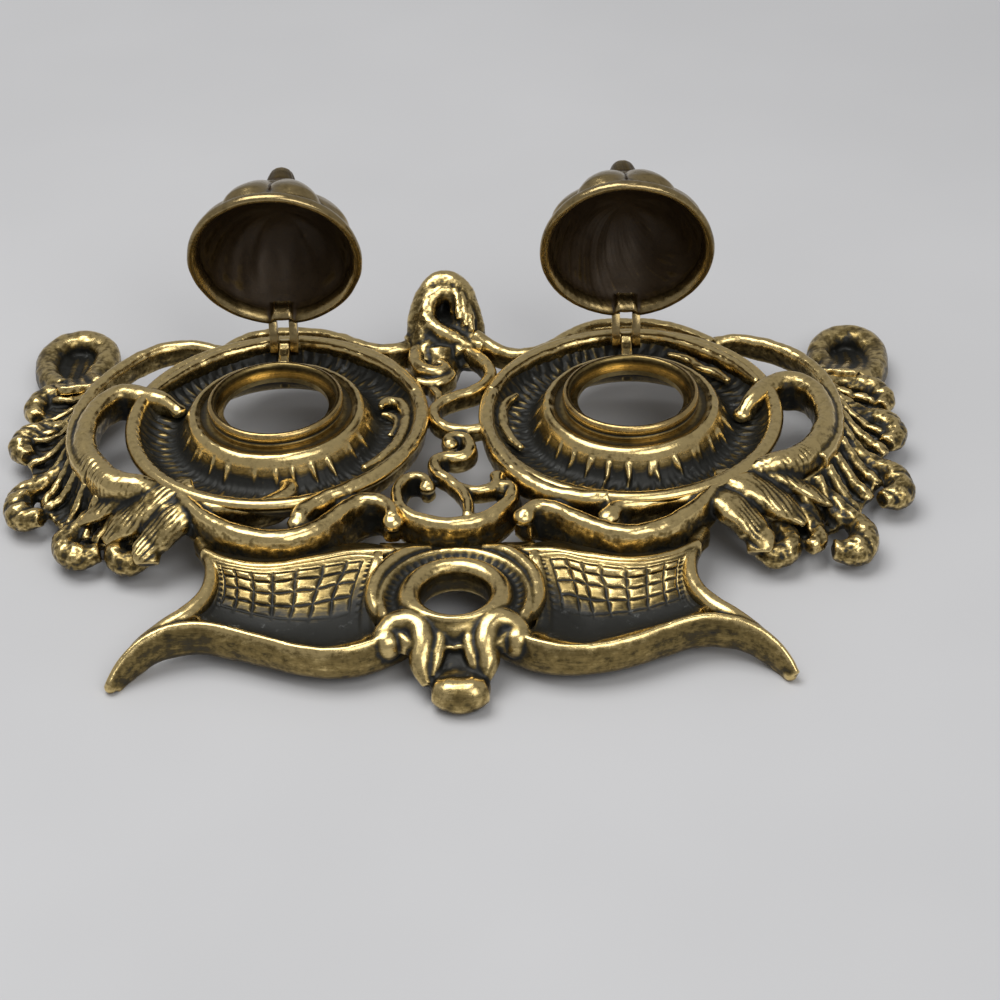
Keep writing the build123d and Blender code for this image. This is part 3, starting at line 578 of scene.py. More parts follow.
RING_PROFILE = [(8.8, 8.4, 1), (8.8, 14.6), (9.8, 16.0), (11.8, 16.6), (13.6, 15.9), (15.2, 13.4),
                (16.4, 13.0), (17.4, 14.0), (18.6, 14.9), (20.0, 14.0), (20.6, 11.6), (20, 8.4, 1)]
BALL_PROFILE = [(0, 0.1, 1), (4.8, 0.1, 1), (6.8, 1.6), (7.4, 3.6), (6.8, 5.8), (4.8, 7.4),
                (0, 8, 1)]
# crest, on a plane that leans back: (across, up the plane, out of it)
CREST_LEAN = math.radians(45)
# rows of its face: up, left edge, right edge, then out of the plane at edge, flank and middle
CREST_ROWS = [(-6, -9.0, 9.6, -1.5, 1.2, 1.8), (-2, -9.4, 10, -1.5, 2.0, 2.9),
              (3, -9.2, 9.4, -2.0, 2.2, 2.8), (7, -9.3, 8.7, -2.2, 2.0, -0.6),
              (11, -8.6, 7.9, -2.4, 1.8, -3.4), (15, -7.0, 6.2, -2.0, 1.4, -3.6),
              (18, -4.6, 4.4, -1.6, 0.6, -2.4), (20.4, -2.2, 2.2, -1.6, -0.8, -1.6)]
# edge of the hood, filling inside it on both sides, the full body, and the rim of the
# hollow, which runs down its left side and crosses to the lower right as a band
CREST_BODY = [
    ([(-8.0, -4, 0.4), (-8.0, 5, 0.6), (-7.2, 13, 0.6), (-4.2, 19.8, 0.0), (0.2, 22.4, -0.2),
      (4.4, 19.4, 0.0), (7.0, 12.8, 0.4), (8.2, 4.6, 0.6), (8.8, -4, 0.2)],
     [3.6, 3.4, 3.3, 3.2, 3.2, 3.2, 3.3, 3.4, 3.6]),
    ([(-6.6, -4, 1.8), (-6.8, 4, 2.2), (-5.8, 11, 1.8), (-3.2, 16.6, 1.2), (0.6, 18.4, 1.0)],
     [3.6, 3.6, 3.2, 2.9, 2.6]),
    ([(6.6, -4, 1.4), (6.6, 4, 1.8), (5.8, 11, 1.6), (3.4, 17, 1.0)], [3.4, 3.0, 2.6, 2.0]),
    ([(-2.8, -7, 2.0), (-2.2, -2, 4.0), (-2.0, 3.4, 4.0)], [5.4, 6.6, 4.8]),
    ([(2.6, 10.4, 0.6), (2.6, 14.8, 1.0), (0.4, 18.2, 1.2), (-2.8, 17.6, 1.6), (-5.0, 13.8, 2.0),
      (-4.9, 9.8, 2.6), (-2.4, 6.4, 3.6), (1.6, 4.0, 4.2), (5.8, 1.6, 3.4), (9.8, -0.6, 1.8)],
     [1.6, 1.9, 2.4, 2.9, 3.0, 2.9, 2.5, 2.3, 2.1, 1.6]),
]
# ribs beside the hollow: across at the top and foot, up at the foot and top
CREST_RIBS = ((3.0, 4.0, 8.0, 17.6), (4.8, 5.8, 6.2, 16.2), (6.4, 7.6, 4.6, 13.6))
CREST_ROOTS = [[(-9, 30, 19.4), (-8.6, 34.6, 21.6), (-6, 38, 22.8), (-5, 42, 24)],
               [(2, 32.6, 20.6), (0.4, 35.8, 22), (-3, 38.4, 22.4), (-6, 41.6, 23)],
               [(8.4, 35, 21.6), (5, 37, 22.6), (3, 39.6, 23.6), (3.6, 43.6, 25)],
               [(-14, 38.6, 21), (-10.6, 40, 22.6), (-8, 42, 24), (-8, 45.6, 26)]]
# front: the tray's waist border from the band to the horn, on the right side
WAIST = [(65.6, -45, 14.6), (62.6, -52, 15), (61, -60, 14.8), (62, -67.6, 14.2),
         (65.8, -73.8, 13.8), (71.4, -78.6, 12.8), (77.4, -82.8, 10), (81.6, -87, 6.6)]
# the pair of rolls over the throat, with the share of the ball foot's shift that each point takes
ROLL = [(17, -84, 13.6, 0.5), (12.2, -80.8, 16, 0.6), (7.8, -81.6, 16.2, 1), (6.2, -86, 14.4, 1),
        (6.6, -90.6, 11.2, 1), (5.2, -95.4, 6.0, 1)]
INNER_ROLL = [(4.4, -80.6, 15.6, 1), (2.2, -84.8, 14, 1), (3.0, -89.6, 11.4, 1), (4.0, -94, 7.4, 1)]
# arc between the trough and the ring, which opens out towards the back
ARC = [(15.6, -80.4, 13.4), (20, -74, 14.6), (20.4, -66, 15.6), (17.4, -59, 16), (12.5, -54, 15.8),
       (6.5, -51, 14.2)]
# borders between the troughs and the band
TRAY_BORDERS = [[(-64, -52, 15.4), (-55.4, -57.6, 15.8), (-46.6, -59.6, 16), (-36, -57.6, 16),
                 (-26, -54.6, 15.8), (-14, -53.6, 15.4)],
                [(64, -52.6, 15.4), (55.4, -58.2, 15.8), (46.6, -60.2, 16), (36, -58.2, 16),
                 (26, -55.2, 15.8), (15, -54.2, 15.4)]]
# low floor between the middle scroll and the ring
TRAY_FLOOR = [(-19, -47.8, 12.4), (-11, -49.4, 13), (1.5, -51.2, 13), (14, -49.8, 13),
              (22, -48.4, 12.4)]
BALL_CAP = [(-3.4, -97.4, 7.8), (-0.4, -98.4, 8.9), (3, -98.6, 8.8), (6.4, -98.4, 8.9),
            (9.4, -97.4, 7.6)]
BALL_WEB = [(3, -82, 10.6), (3, -88, 8.8), (3, -94, 7.4)]


# ------------------------------------------------------------------ casting parts
def make_dish(side_name):
    """A shallow dish: rim bead, fluted floor, ragged ring round the well and liner ledge."""
    x = SIDES[side_name] * WELL_X
    obj = turned(side_name + "_dish", x, DISH_PROFILE, steps=560, cuts=5)
    co, n = corners(obj), normals(obj)
    _, _, r, a = round_axis(co, x)
    seed = 3 if side_name == "left" else 8
    top = np.clip(n[:, 2] * 3, 0, 1)
    wave = ripple(3 * np.cos(a), 3 * np.sin(a) + 0.12 * r, seed)
    swirl = a + 0.05 * wave + 0.012 * (r - 30)
    floor = hump(r, 32.5, 5.2, 4) * top
    flute = np.abs(np.sin(34 * swirl)) ** 0.7 - 0.5
    hair = np.sin(131 * a + 5 * wave) + np.sin(83 * a - 0.5 * r)
    co[:, 2] += floor * ((0.55 + 0.35 * wave) * flute * ramp(r, 27, 4) + 0.07 * hair)
    # the ring's skirt runs out over the floor in uneven roots, longest in front
    front = 0.6 + 0.4 * np.sin(-a + 0.3) + (0.25 if side_name == "right" else 0)
    root = np.clip(np.sin(27 * a + 1.6 * wave) + 0.3 * np.sin(61 * a + wave), 0, 1.3) ** 1.4
    reach = 25.4 + 2.6 * front * (0.7 + 0.3 * wave) * (0.4 + root)
    skirt = ramp(reach - r, 0, 2.2) * ramp(r, 24.6, 1.2) * top
    co[:, 2] += skirt * (0.7 + 0.7 * root)
    ring = hump(r, 22.6, 1.5) * top
    co[:, 2] += ring * (0.16 * ripple(6 * np.cos(a), 6 * np.sin(a), seed + 1) - 0.05)
    worn_roots = 0.3 * hump(r, 24.6 + 0.9 * root * front, 1.7)
    set_rub(obj, worn_roots + 0.12 * hump(r, 22.4, 1.6) - 0.1 * floor)
    return set_corners(obj, co)


def make_lug(side_name):
    """The lug behind a well that the two ears of the lid swing on."""
    width = 3.0
    deselect()
    bpy.ops.mesh.primitive_circle_add(vertices=len(LUG_OUTLINE), radius=0.01, fill_type="NGON")
    obj = bpy.context.object
    obj.name = side_name + "_hinge_lug"
    x = SIDES[side_name] * WELL_X - width / 2
    set_corners(obj, np.array([(x, y + WELL_Y, z) for y, z in LUG_OUTLINE]))
    bpy.ops.object.mode_set(mode="EDIT")
    bpy.ops.mesh.select_all(action="SELECT")
    bpy.ops.mesh.extrude_region_move(TRANSFORM_OT_translate={"value": (width * MM, 0, 0)})
    bpy.ops.mesh.select_all(action="SELECT")
    bpy.ops.mesh.normals_make_consistent(inside=False)
    bpy.ops.object.mode_set(mode="OBJECT")
    apply_modifier(obj, "BEVEL", width=0.35 * MM, segments=3, limit_method="ANGLE",
                   angle_limit=LEDGE_ANGLE)
    return apply_modifier(obj, "REMESH", mode="VOXEL", voxel_size=0.3 * MM, adaptivity=0)


def make_scrolls(side_name):
    """The strands of one part of the scrollwork, run together as cast."""
    parts = [strand(**line) for line in SCROLLS[side_name]]
    parts += [knob(*button) for button in BUTTONS[side_name]]
    if side_name in LEAVES:
        parts += [strand(points, r, shape="slab") for points, r in LEAVES[side_name]]
    obj = fuse(side_name + "_scrollwork", parts, 0.46, smooth=4, lumps=0.5, lump_size=3.6)
    return groove_leaves(obj)


def groove_leaves(obj):
    """Chased strokes across the leaves at the front corners."""
    co, n = corners(obj), normals(obj)
    x, y = co[:, 0], co[:, 1] - WELL_Y
    leaf = ramp(np.abs(x), 68, 4) * ramp(-y, 16, 6) * np.clip(n[:, 2] * 2, 0, 1)
    wave, patch = ripple(x * 0.16, y * 0.16, 5), ripple(x * 0.3, y * 0.3, 15)
    strokes = np.sin((np.abs(x) * 0.62 + y * 0.78) * 4.1 + 3.5 * wave)
    depth = leaf * 0.2 * np.clip(strokes, -1, 0.2) * np.clip(0.25 + patch, 0, 1)
    return set_corners(obj, co + n * depth[:, None])


def pierce(obj, slots):
    """Opens slots in a sheet: (share across, half width, share along from, to)."""
    u, v = sheet_places(obj)
    corner = np.empty(len(obj.data.polygons) * 4, np.int32)
    obj.data.polygons.foreach_get("vertices", corner)
    corner = corner.reshape(-1, 4)
    cu, cv = u[corner].mean(1), v[corner].mean(1)
    open_face = np.zeros(len(cu), bool)
    for place, half, start, end in slots:
        middle, reach = (start + end) / 2, (end - start) / 2
        open_face |= ((cu - place) / half) ** 2 + ((cv - middle) / reach) ** 2 < 1
    # the faces are chosen once the mesh is in face mode, which would drop an earlier choice
    activate(obj)
    bpy.ops.object.mode_set(mode="EDIT")
    bpy.ops.mesh.select_mode(type="FACE")
    bpy.ops.object.mode_set(mode="OBJECT")
    obj.data.polygons.foreach_set("select", open_face)
    bpy.ops.object.mode_set(mode="EDIT")
    bpy.ops.mesh.delete(type="FACE")
    bpy.ops.mesh.select_mode(type="VERT")
    bpy.ops.object.mode_set(mode="OBJECT")


def make_shell(side_name):
    """Half a scallop shell: a hollowed fan of thin flutes with rolled lobes along its hem."""
    lines = SHELL[side_name]
    inner, hem = np.array(lines["inner"], float), np.array(lines["hem"], float)
    rails = []
    for share, sag in ((0, 0.6), (0.2, 3.4), (0.45, 4.6), (0.7, 3.6), (1, 0.8)):
        rail = inner * (1 - share) + hem * share
        rail[:, 2] -= sag
        rails.append(rail)
    web = sheet(side_name + "_web", rails, 260, 60)
    u, v = sheet_places(web)
    co, n = corners(web), normals(web)
    wave = ripple(5 * u, 2 * v, 11 if side_name == "left" else 12)
    comb = (u * 52 + 1.2 * (v - 0.4) ** 2 + 0.5 * wave) % 1
    co += n * (0.35 * hump(comb, 0.5, 0.2) * np.clip(v * 5, 0, 1))[:, None]
    set_corners(web, co)
    pierce(web, lines["slots"])
    parts = [back_sheet(web, 1.8)]
    # fingers that run out from the rail, sag over the web and rise to the hem
    across = smooth_line(np.stack([inner, hem], 1), 200)
    for place, width, lean in lines["fingers"]:
        path = []
        for share, rise in FINGER_RISE:
            at = np.clip(place + lean * share * share, 0, 1)
            start, end = across[int(at * 199)]
            point = start * (1 - share) + end * share
            path.append((point[0], point[1], point[2] + rise))
        parts.append(strand(path, [0.9 * width, width, 1.05 * width, 1.1 * width, width]))
    parts += [strand(points, sizes) for points, sizes in zip(lines["lobes"], lines["sizes"])]
    obj = fuse(side_name + "_shell", parts, 0.42, smooth=3, lumps=0.8, lump_size=2.8)
    co, n = corners(obj), normals(obj)
    x, y = co[:, 0], co[:, 1] - WELL_Y
    angle = np.arctan2(y + 4, np.abs(x) - 88)
    lobes = ramp(np.hypot(np.abs(x) - 92, y + 6), 20, 6) * np.clip(n[:, 2] * 2, 0, 1)
    wave = ripple(x * 0.2, y * 0.2, 6)
    stroke = np.clip(np.sin(52 * angle + 2 * wave), -1, 0.2)
    set_rub(obj, -0.1 + 0.08 * wave)
    depth = 0.3 * lobes * stroke * np.clip(0.7 + wave, 0, 1)
    return set_corners(obj, co + n * depth[:, None])


def make_rear_foot(side_name):
    """The rolled leaf of a rear foot and the dished web inside it."""
    line = CURL[side_name]
    side = SIDES[side_name]
    roll = strand(line, [2.0, 3.0, 3.5, 3.9, 4.1, 4.2, 4.2, 3.9, 3.4, 2.4], shape="roll")
    x = side * 112.5
    far = line[5][1] - 5.6
    parts = [roll, knob(line[2][0], line[2][1], 5.8, 3.2, 0.9)]
    web = [[(side * 103, 30, 13), (side * 108, 29, 13.2), (side * 114, 29, 12.6)],
           [(side * 105, 37, 9.6), (side * 111, 37, 10), (side * 118, 36, 9.4)],
           [(side * 106.5, 44, 7), (x, 44, 6.8), (side * 119, 44, 7)],
           [(side * 107, far - 0.6, 5.4), (x + side * 0.6, far + 2, 4.6), (side * 118, far, 5.4)]]
    leaf = sheet(side_name + "_leaf", web, 60, 60)
    u, v = sheet_places(leaf)
    co, n = corners(leaf), normals(leaf)
    co += n * (0.5 * np.sin(u * 22 + 3 * v) * np.sin(v * 3.1))[:, None]
    set_corners(leaf, co)
    parts.append(back_sheet(leaf, 2.6))
    obj = fuse(side_name + "_rear_foot", parts, 0.45, smooth=6, lumps=0.6, lump_size=4)
    set_rub(obj, np.full(len(obj.data.vertices), -0.13))
    return obj


def make_tray(side_name):
    """One trough of the pen tray, chased with a net of squares and two beaded borders."""
    left = side_name == "left"
    rails = TROUGH
    if not left:
        rails = [[(-x + (3 if x > -30 else 0), y - 0.6, z) for x, y, z in line] for line in TROUGH]
    obj = sheet(side_name + "_trough", rails, 250, 180)
    u, v = sheet_places(obj)
    co, n = corners(obj), normals(obj)
    wave = ripple(4 * u, 4 * v, 21 if left else 22)
    bend = ripple(9 * u, 7 * v, 23 if left else 24)
    # squares are counted across and down the field, with their cuts at whole numbers
    across = u * 9.2 + 0.1 * wave + 0.07 * bend
    down = (v - 0.3) * 10.4 + 0.12 * wave + 0.07 * bend

    def cut(place, width):
        return hump(np.abs((place + 0.5) % 1 - 0.5), 0, width)

    field = np.clip((across - 0.95) * 8, 0, 1) * np.clip((8.05 - across) * 8, 0, 1)
    field = field * np.clip((v - 0.27) * 40, 0, 1) * np.clip((0.72 - v) * 10, 0, 1)
    net = np.maximum(cut(across, 0.11), cut(down, 0.12)) * (0.8 + 0.3 * wave)
    pillow = 0.16 * np.abs(np.sin(across * math.pi) * np.sin(down * math.pi))
    lift = field * (pillow - 0.45 * net)
    # borders: raised strips along the back and both ends, with a row of beads beside them
    edge = np.minimum(u, 1 - u) * 10.2
    back = (v - 0.13) * 13.2
    strip = np.maximum(hump(edge, 0.42, 0.3, 4) * (v > 0.12), hump(back, 1.15, 0.42, 4))
    bead_row = hump(edge, 0.86, 0.14) * np.clip((v - 0.28) * 30, 0, 1)
    bead_row = bead_row * np.clip((0.75 - v) * 10, 0, 1)
    lift += strip * 0.4 + bead_row * (0.4 * np.abs(np.sin(v * 64)) - 0.34)
    lift += 0.12 * wave * np.clip((v - 0.7) * 6, 0, 1)
    # pens and rags reach the back of the trough and not its floor
    floor = np.clip((v - 0.5) * 2.6, 0, 1) * np.clip((0.97 - v) * 20, 0, 1)
    set_rub(obj, 0.10 - 0.75 * floor + 0.12 * strip + 0.12 * bend * field)
    return back_sheet(set_corners(obj, co + n * lift[:, None]), 2.6)


def make_front():
    """Front rail, horns, the ring of the tray, the rolls and the ball foot."""
    parts = []
    for name, side in SIDES.items():
        blade = [point[:3] for point in BLADES[name]]
        parts.append(strand(blade, [point[3] for point in BLADES[name]], shape="blade"))
        waist = [(side * x, y, z) for x, y, z in WAIST]
        parts.append(strand(waist, [2.0, 1.9, 1.9, 2.1, 2.5, 2.5, 2.1, 1.4], shape="cast"))
        shift = BALL_X if side > 0 else 0
        outer, inner = ([(side * x + shift * share, y, z) for x, y, z, share in line]
                        for line in (ROLL, INNER_ROLL))
        parts.append(strand(outer, [2.8, 3.8, 4.0, 3.8, 3.2, 1.4]))
        parts.append(knob(side * 15.6 + shift * 0.5, -84.6, 9.4, 4.4, 1.0))
        parts.append(strand(inner, [1.6, 2.1, 2.2, 1.2]))
        arc = [(side * x + RING_X, y, z) for x, y, z in ARC]
        parts.append(strand(arc, [1.8, 2.1, 2.2, 2.2, 1.9, 0.9], shape="cast"))
        parts.append(knob(side * 84.3, -90.2, 1.7, 1.7, 0.95))
    parts.append(strand(TRAY_FLOOR, [2.2, 3.2, 3.2, 3.2, 2.2], shape="cast"))
    parts += [strand(line, [1.4, 1.5, 1.5, 1.5, 1.3], shape="cast") for line in TRAY_BORDERS]
    parts.append(make_ring())
    parts.append(turned("ball_foot", BALL_X, BALL_PROFILE, steps=72, y=BALL_Y, cuts=4))
    parts.append(strand(BALL_CAP, [2.9, 4.3, 4.5, 4.3, 2.9]))
    parts.append(strand(BALL_WEB, [6.2, 5.6, 4.8], shape="slab"))
    return fuse("front_rail", parts, 0.45, smooth=4, lumps=0.25, lump_size=5)


def make_ring():
    """The beaded double ring in the middle of the tray."""
    obj = turned("tray_ring", RING_X, RING_PROFILE, steps=220, y=RING_Y, cuts=3)
    co = corners(obj)
    _, py, r, a = round_axis(co, RING_X, RING_Y)
    co[:, 2] += 0.8 * hump(r, 16.4, 0.8) * np.abs(np.sin(24 * a)) * (co[:, 2] > 12)
    # the ring dips into the throat in front
    co[:, 2] -= 2.2 * ramp(-py, 7, 8) * (r > 12) * (co[:, 2] > 10)
    set_corners(obj, co)
    apply_front_cut(obj)
    return obj


def apply_front_cut(obj):
    """Cuts the front of the tray's ring off where the rail passes."""
    activate(obj)
    bpy.ops.object.mode_set(mode="EDIT")
    bpy.ops.mesh.select_all(action="SELECT")
    bpy.ops.mesh.bisect(plane_co=Vector((0, WELL_Y - 87.5, 0)) * MM, plane_no=(0, 1, 0.1),
                        clear_inner=True, use_fill=True)
    bpy.ops.object.mode_set(mode="OBJECT")


def make_crest():
    """The leaf at the back, leaning backwards round a deep hollow, on twisted roots."""
    away, height = math.cos(CREST_LEAN), math.sin(CREST_LEAN)
    origin = np.array([-3.0, 57.5 - 24 * away - 5.6 * height, 18.6])
    up, out = np.array([0, away, height]), np.array([0, -height, away])

    def place(across, along, lift):
        return tuple(origin + np.array([across, 0, 0]) + up * along + out * lift)

    rows = [[place(left, along, edge), place(left * 0.86, along, flank * 0.7),
             place(left * 0.6, along, flank), place(left * 0.2 - 0.6, along, middle),
             place(0.6, along, middle + 0.2), place(right * 0.42, along, flank),
             place(right * 0.78, along, flank * 0.8), place(right, along, edge)]
            for along, left, right, edge, flank, middle in CREST_ROWS]
    parts = [back_sheet(sheet("crest_face", rows[::-1], 110, 120), 3.2)]
    parts += [strand([place(*point) for point in line], sizes) for line, sizes in CREST_BODY]
    parts = [fuse("crest_body", parts, 0.4, smooth=26)]
    for top, foot, low, high in CREST_RIBS:
        rib = [place(top, high, 1.4), place((top + foot) / 2 + 0.3, (low + high) / 2, 2.6),
               place(foot, low, 3.0)]
        parts.append(strand(rib, [0.8, 1.1, 1.0]))
    parts += [strand(root, [2.4, 3.2, 3.4, 2.6]) for root in CREST_ROOTS]
    return fuse("crest_leaf", parts, 0.4, smooth=4, lumps=0.6, lump_size=3)


# ------------------------------------------------------------------ lids, collars
def hinged(obj, side_name):
    """Swings a piece modelled on the closed lid back to where the lid stands open."""
    angle = math.radians(OPEN_DEGREES[side_name])
    pivot = Vector((0, HINGE_Y, HINGE_Z)) * MM
    turn = Matrix.Translation(pivot) @ Matrix.Rotation(-angle, 4, "X") @ Matrix.Translation(-pivot)
    obj.data.transform(turn)
    obj.data.update()
    return obj


def make_lid(side_name):
    """A gadrooned domed lid with its finial, rolled rim and lobed hollow."""
    x = SIDES[side_name] * WELL_X
    profile = [(radius, RIM_Z + height, *sharp) for radius, height, *sharp in LID_PROFILE]
    obj = turned(side_name + "_lid_shell", x, profile, steps=320, cuts=5)
    co = corners(obj)
    px, py, r, a = round_axis(co, x)
    h = co[:, 2] - RIM_Z
    wall = np.interp(h, [0, 4, 8, 13, 18, 22], [23.4, 21.7, 19.5, 16.4, 11.8, 6.8])
    outside = (h > 22.4) | (r > 22.6) | (r > wall)
    seed = 31 if side_name == "left" else 32
    wave = ripple(4 * np.cos(a) + 0.1 * h, 4 * np.sin(a) + 0.1 * h, seed)
    # eight broad swelled lobes over a plain rim, drawn together under the finial
    body = ramp(h, 5.2, 3.5) * ramp(h, 28, -6)
    gadroon = np.abs(np.cos(4 * a + math.pi / 2 + 0.08 * wave)) ** 0.55
    swell = np.where(outside, body * (2.9 * gadroon - 1.5), 0)
    neck = outside * hump(h, 27.4, 1.4) * 0.4 * np.abs(np.cos(8 * a)) * (r > 4.6)
    rim_line = outside * hump(h, 4.6, 0.5) * -0.35
    inside = (~outside) * ramp(h, 4.6, 2.5) * ramp(r, 0, 6)
    lobe = inside * (0.6 * np.cos(4 * a + math.pi / 2) ** 2 - 0.4 + 0.15 * wave)
    grow = 1 + (swell + neck + rim_line + lobe + 0.16 * wave) / np.maximum(r, 4) * ramp(r, 0, 5)
    co[:, 0], co[:, 1] = x + px * grow, WELL_Y + py * grow
    dents = 0.25 * ripple(px * 0.16, py * 0.16, 35) * ramp(r, 18, -6)
    co[:, 2] += np.where((~outside) & (h > 8), dents, 0)
    lining = np.where(h < 5.0, 0.26, -0.02) + 0.07 * ripple(px * 0.2, py * 0.2 + 0.1 * h, 36)
    set_rub(obj, np.where(outside, 0.0, lining))
    set_corners(obj, co)
    notch_rim(obj, x)
    ears = [make_ear(x + hand * 2.85) for hand in (-1, 1)]
    deselect()
    for part in ears + [obj]:
        part.select_set(True)
    bpy.context.view_layer.objects.active = obj
    bpy.ops.object.join()
    obj = bpy.context.object
    obj.name = side_name + "_lid_dome"
    return hinged(obj, side_name)


def notch_rim(obj, x):
    """Draws the rim in a little where the hinge lug stands."""
    co = corners(obj)
    near = np.clip(1 - np.abs(co[:, 0] - x) / 3.4, 0, 1)
    near = near * (co[:, 1] > WELL_Y + 18) * (co[:, 2] < RIM_Z + 5)
    co[:, 1] -= 1.4 * np.clip(near * 3, 0, 1)
    set_corners(obj, co)


def make_ear(x):
    """One ear of a lid's hinge, bored for the pin."""
    deselect()
    bpy.ops.mesh.primitive_cylinder_add(vertices=40, radius=2.4 * MM, depth=2.24 * MM,
                                        location=Vector((x, HINGE_Y, HINGE_Z)) * MM,
                                        rotation=(0, math.pi / 2, 0))
    obj = bpy.context.object
    bpy.ops.object.transform_apply(location=True, rotation=True, scale=True)
    co = corners(obj)
    # the wall of the barrel that faces the lid runs out to the rim as an arm
    toward = co[:, 1] < HINGE_Y - 0.8
    lift = ramp(co[:, 2] - HINGE_Z, -2.4, 4.8)
    co[toward, 1] = WELL_Y + 22.9 - 0.9 * lift[toward]
    co[toward, 2] = RIM_Z + 0.35 + 3.4 * lift[toward]
    set_corners(obj, co)
    apply_modifier(obj, "BEVEL", width=0.3 * MM, segments=2, limit_method="ANGLE",
                   angle_limit=LEDGE_ANGLE)
    return obj


def make_collar(side_name):
    """A turned collar with a rounded lip and a fine line under it."""
    x = SIDES[side_name] * WELL_X
    obj = turned(side_name + "_collar", x, COLLAR_PROFILE, steps=200, cuts=4)
    co = corners(obj)
    px, py, _, a = round_axis(co, x)
    shrink = 1 - 0.002 * (1 + ripple(3 * np.cos(a), 3 * np.sin(a) + co[:, 2], 41))
    co[:, 0], co[:, 1] = x + px * shrink, WELL_Y + py * shrink
    return set_corners(obj, co)


# ------------------------------------------------------------------ wear and painted shade
# height map under the pieces: size of a cell in mm, left front corner, cells across and along
MAP_CELL = 0.5
MAP_CORNER = (-134, -94)
MAP_SIZE = (540, 380)


def neighbours_mean(points, ends, count):
    """Each point moved half way to the middle of its neighbours."""
    total = np.zeros_like(points)
    for axis in range(3):
        total[:, axis] = (np.bincount(ends[:, 0], points[ends[:, 1], axis], count)
                          + np.bincount(ends[:, 1], points[ends[:, 0], axis], count))
    degree = np.maximum(np.bincount(ends.ravel(), minlength=count), 1)[:, None]
    return 0.5 * points + 0.5 * total / degree


def box_blur(grid, reach):
    """A soft blur of a height map over about reach cells."""
    for _ in range(3):
        for axis in (0, 1):
            pad = [(reach + 1, reach) if k == axis else (0, 0) for k in (0, 1)]
            run = np.cumsum(np.pad(grid, pad), axis=axis)
            span = 2 * reach + 1
            grid = (np.take(run, range(span, run.shape[axis]), axis)
                    - np.take(run, range(0, run.shape[axis] - span), axis)) / span
    return grid


def set_rub(obj, amount):
    """How much more or less than elsewhere hands and polish reach each point."""
    layer = obj.data.attributes.new("rub", "FLOAT", "POINT")
    layer.data.foreach_set("value", np.asarray(amount, np.float32))


def map_cells(co):
    """The cells of the height map that points stand in."""
    return tuple(((co[:, axis] - MAP_CORNER[axis]) / MAP_CELL).astype(int) for axis in (0, 1))


def weather(pieces):
    """Stores how worn each point is, 0 in the deep hollows and 1 on crests that hands rub, with
    painted shade that darkens faces turned down.
    """
    tops = np.full(MAP_SIZE, -1.0)
    for obj in pieces:
        co = corners(obj)
        np.maximum.at(tops, map_cells(co), co[:, 2])
    filled = (tops >= 0).astype(float)
    # the sky that a point sees falls where its neighbours stand higher
    levels = []
    for reach in (4, 12):
        weight = box_blur(filled, reach)
        levels.append(box_blur(np.where(filled > 0, tops, 0), reach) / np.maximum(weight, 0.02))
    for obj in pieces:
        co, n = corners(obj), normals(obj)
        count = len(co)
        ends = np.empty(len(obj.data.edges) * 2, np.int32)
        obj.data.edges.foreach_get("vertices", ends)
        ends = ends.reshape(-1, 2)
        wear_and_shade = np.zeros(count)
        moved, done = co.copy(), 0
        # how far each point stands out of its surroundings, near, wider and widest
        for rounds, scale, share in ((4, 0.05, 0.25), (20, 0.18, 0.4), (70, 0.5, 0.45)):
            for _ in range(rounds - done):
                moved = neighbours_mean(moved, ends, count)
            bulge = np.einsum("ij,ij->i", co - moved, n)
            wear_and_shade += share * np.tanh(bulge / scale)
            if not done:
                fine = np.tanh(bulge / 0.04)
            done = rounds
        open_up = 0.25 + 0.75 * np.clip(n[:, 2], 0, 1)
        cells = map_cells(co)
        for level, scale, share in ((levels[0], 2.0, 0.4), (levels[1], 4.0, 0.65)):
            wear_and_shade += share * open_up * np.clip((co[:, 2] - level[cells]) / scale, -1, 0.5)
        # painted shade and light: faces turned down are darkened towards tarnish and faces turned up
        # lightened a little, as light from above falls
        wear_and_shade += 0.08 * n[:, 2] - 0.3 * (n[:, 2] < -0.3)
        value = 0.5 + 0.46 * wear_and_shade
        if "rub" in obj.data.attributes:
            rub = np.empty(count)
            obj.data.attributes["rub"].data.foreach_get("value", rub)
            value += rub
        for name, data in (("wear_and_shade", np.clip(value, 0, 1)), ("edge", 0.5 + 0.5 * fine)):
            layer = obj.data.attributes.new(name, "FLOAT", "POINT")
            layer.data.foreach_set("value", data.astype(np.float32))


# ------------------------------------------------------------------ materials
# the metal's colours, from the deepest hollows to the rubbed crests
METAL_COLOURS = ("Tarnish", "Shade", "Brass", "Gold")


def socket(group, name, kind, way, value=None):
    """One input or output on a node group's interface."""
    item = group.interface.new_socket(name=name, in_out=way, socket_type=kind)
    if value is not None:
        item.default_value = value
    return item


def add_node(tree, kind, **settings):
    """A new node with its settings."""
    node = tree.nodes.new(kind)
    for name, value in settings.items():
        setattr(node, name, value)
    return node


def sum_node(tree, operation, a, b, clamp=False):
    """A Math node fed by sockets or numbers."""
    node = add_node(tree, "ShaderNodeMath", operation=operation, use_clamp=clamp)
    for slot, value in zip(node.inputs, (a, b)):
        if isinstance(value, (int, float)):
            slot.default_value = value
        else:
            tree.links.new(value, slot)
    return node.outputs[0]


def noise_node(tree, vector, scale, detail=4.0, roughness=0.55, stretch=None):
    """A noise texture over a place, drawn out along the axes by stretch."""
    if stretch:
        mapping = add_node(tree, "ShaderNodeMapping")
        mapping.inputs["Scale"].default_value = stretch
        tree.links.new(vector, mapping.inputs["Vector"])
        vector = mapping.outputs[0]
    node = add_node(tree, "ShaderNodeTexNoise")
    node.inputs["Scale"].default_value = scale
    node.inputs["Detail"].default_value = detail
    node.inputs["Roughness"].default_value = roughness
    tree.links.new(vector, node.inputs["Vector"])
    return node.outputs["Fac"]


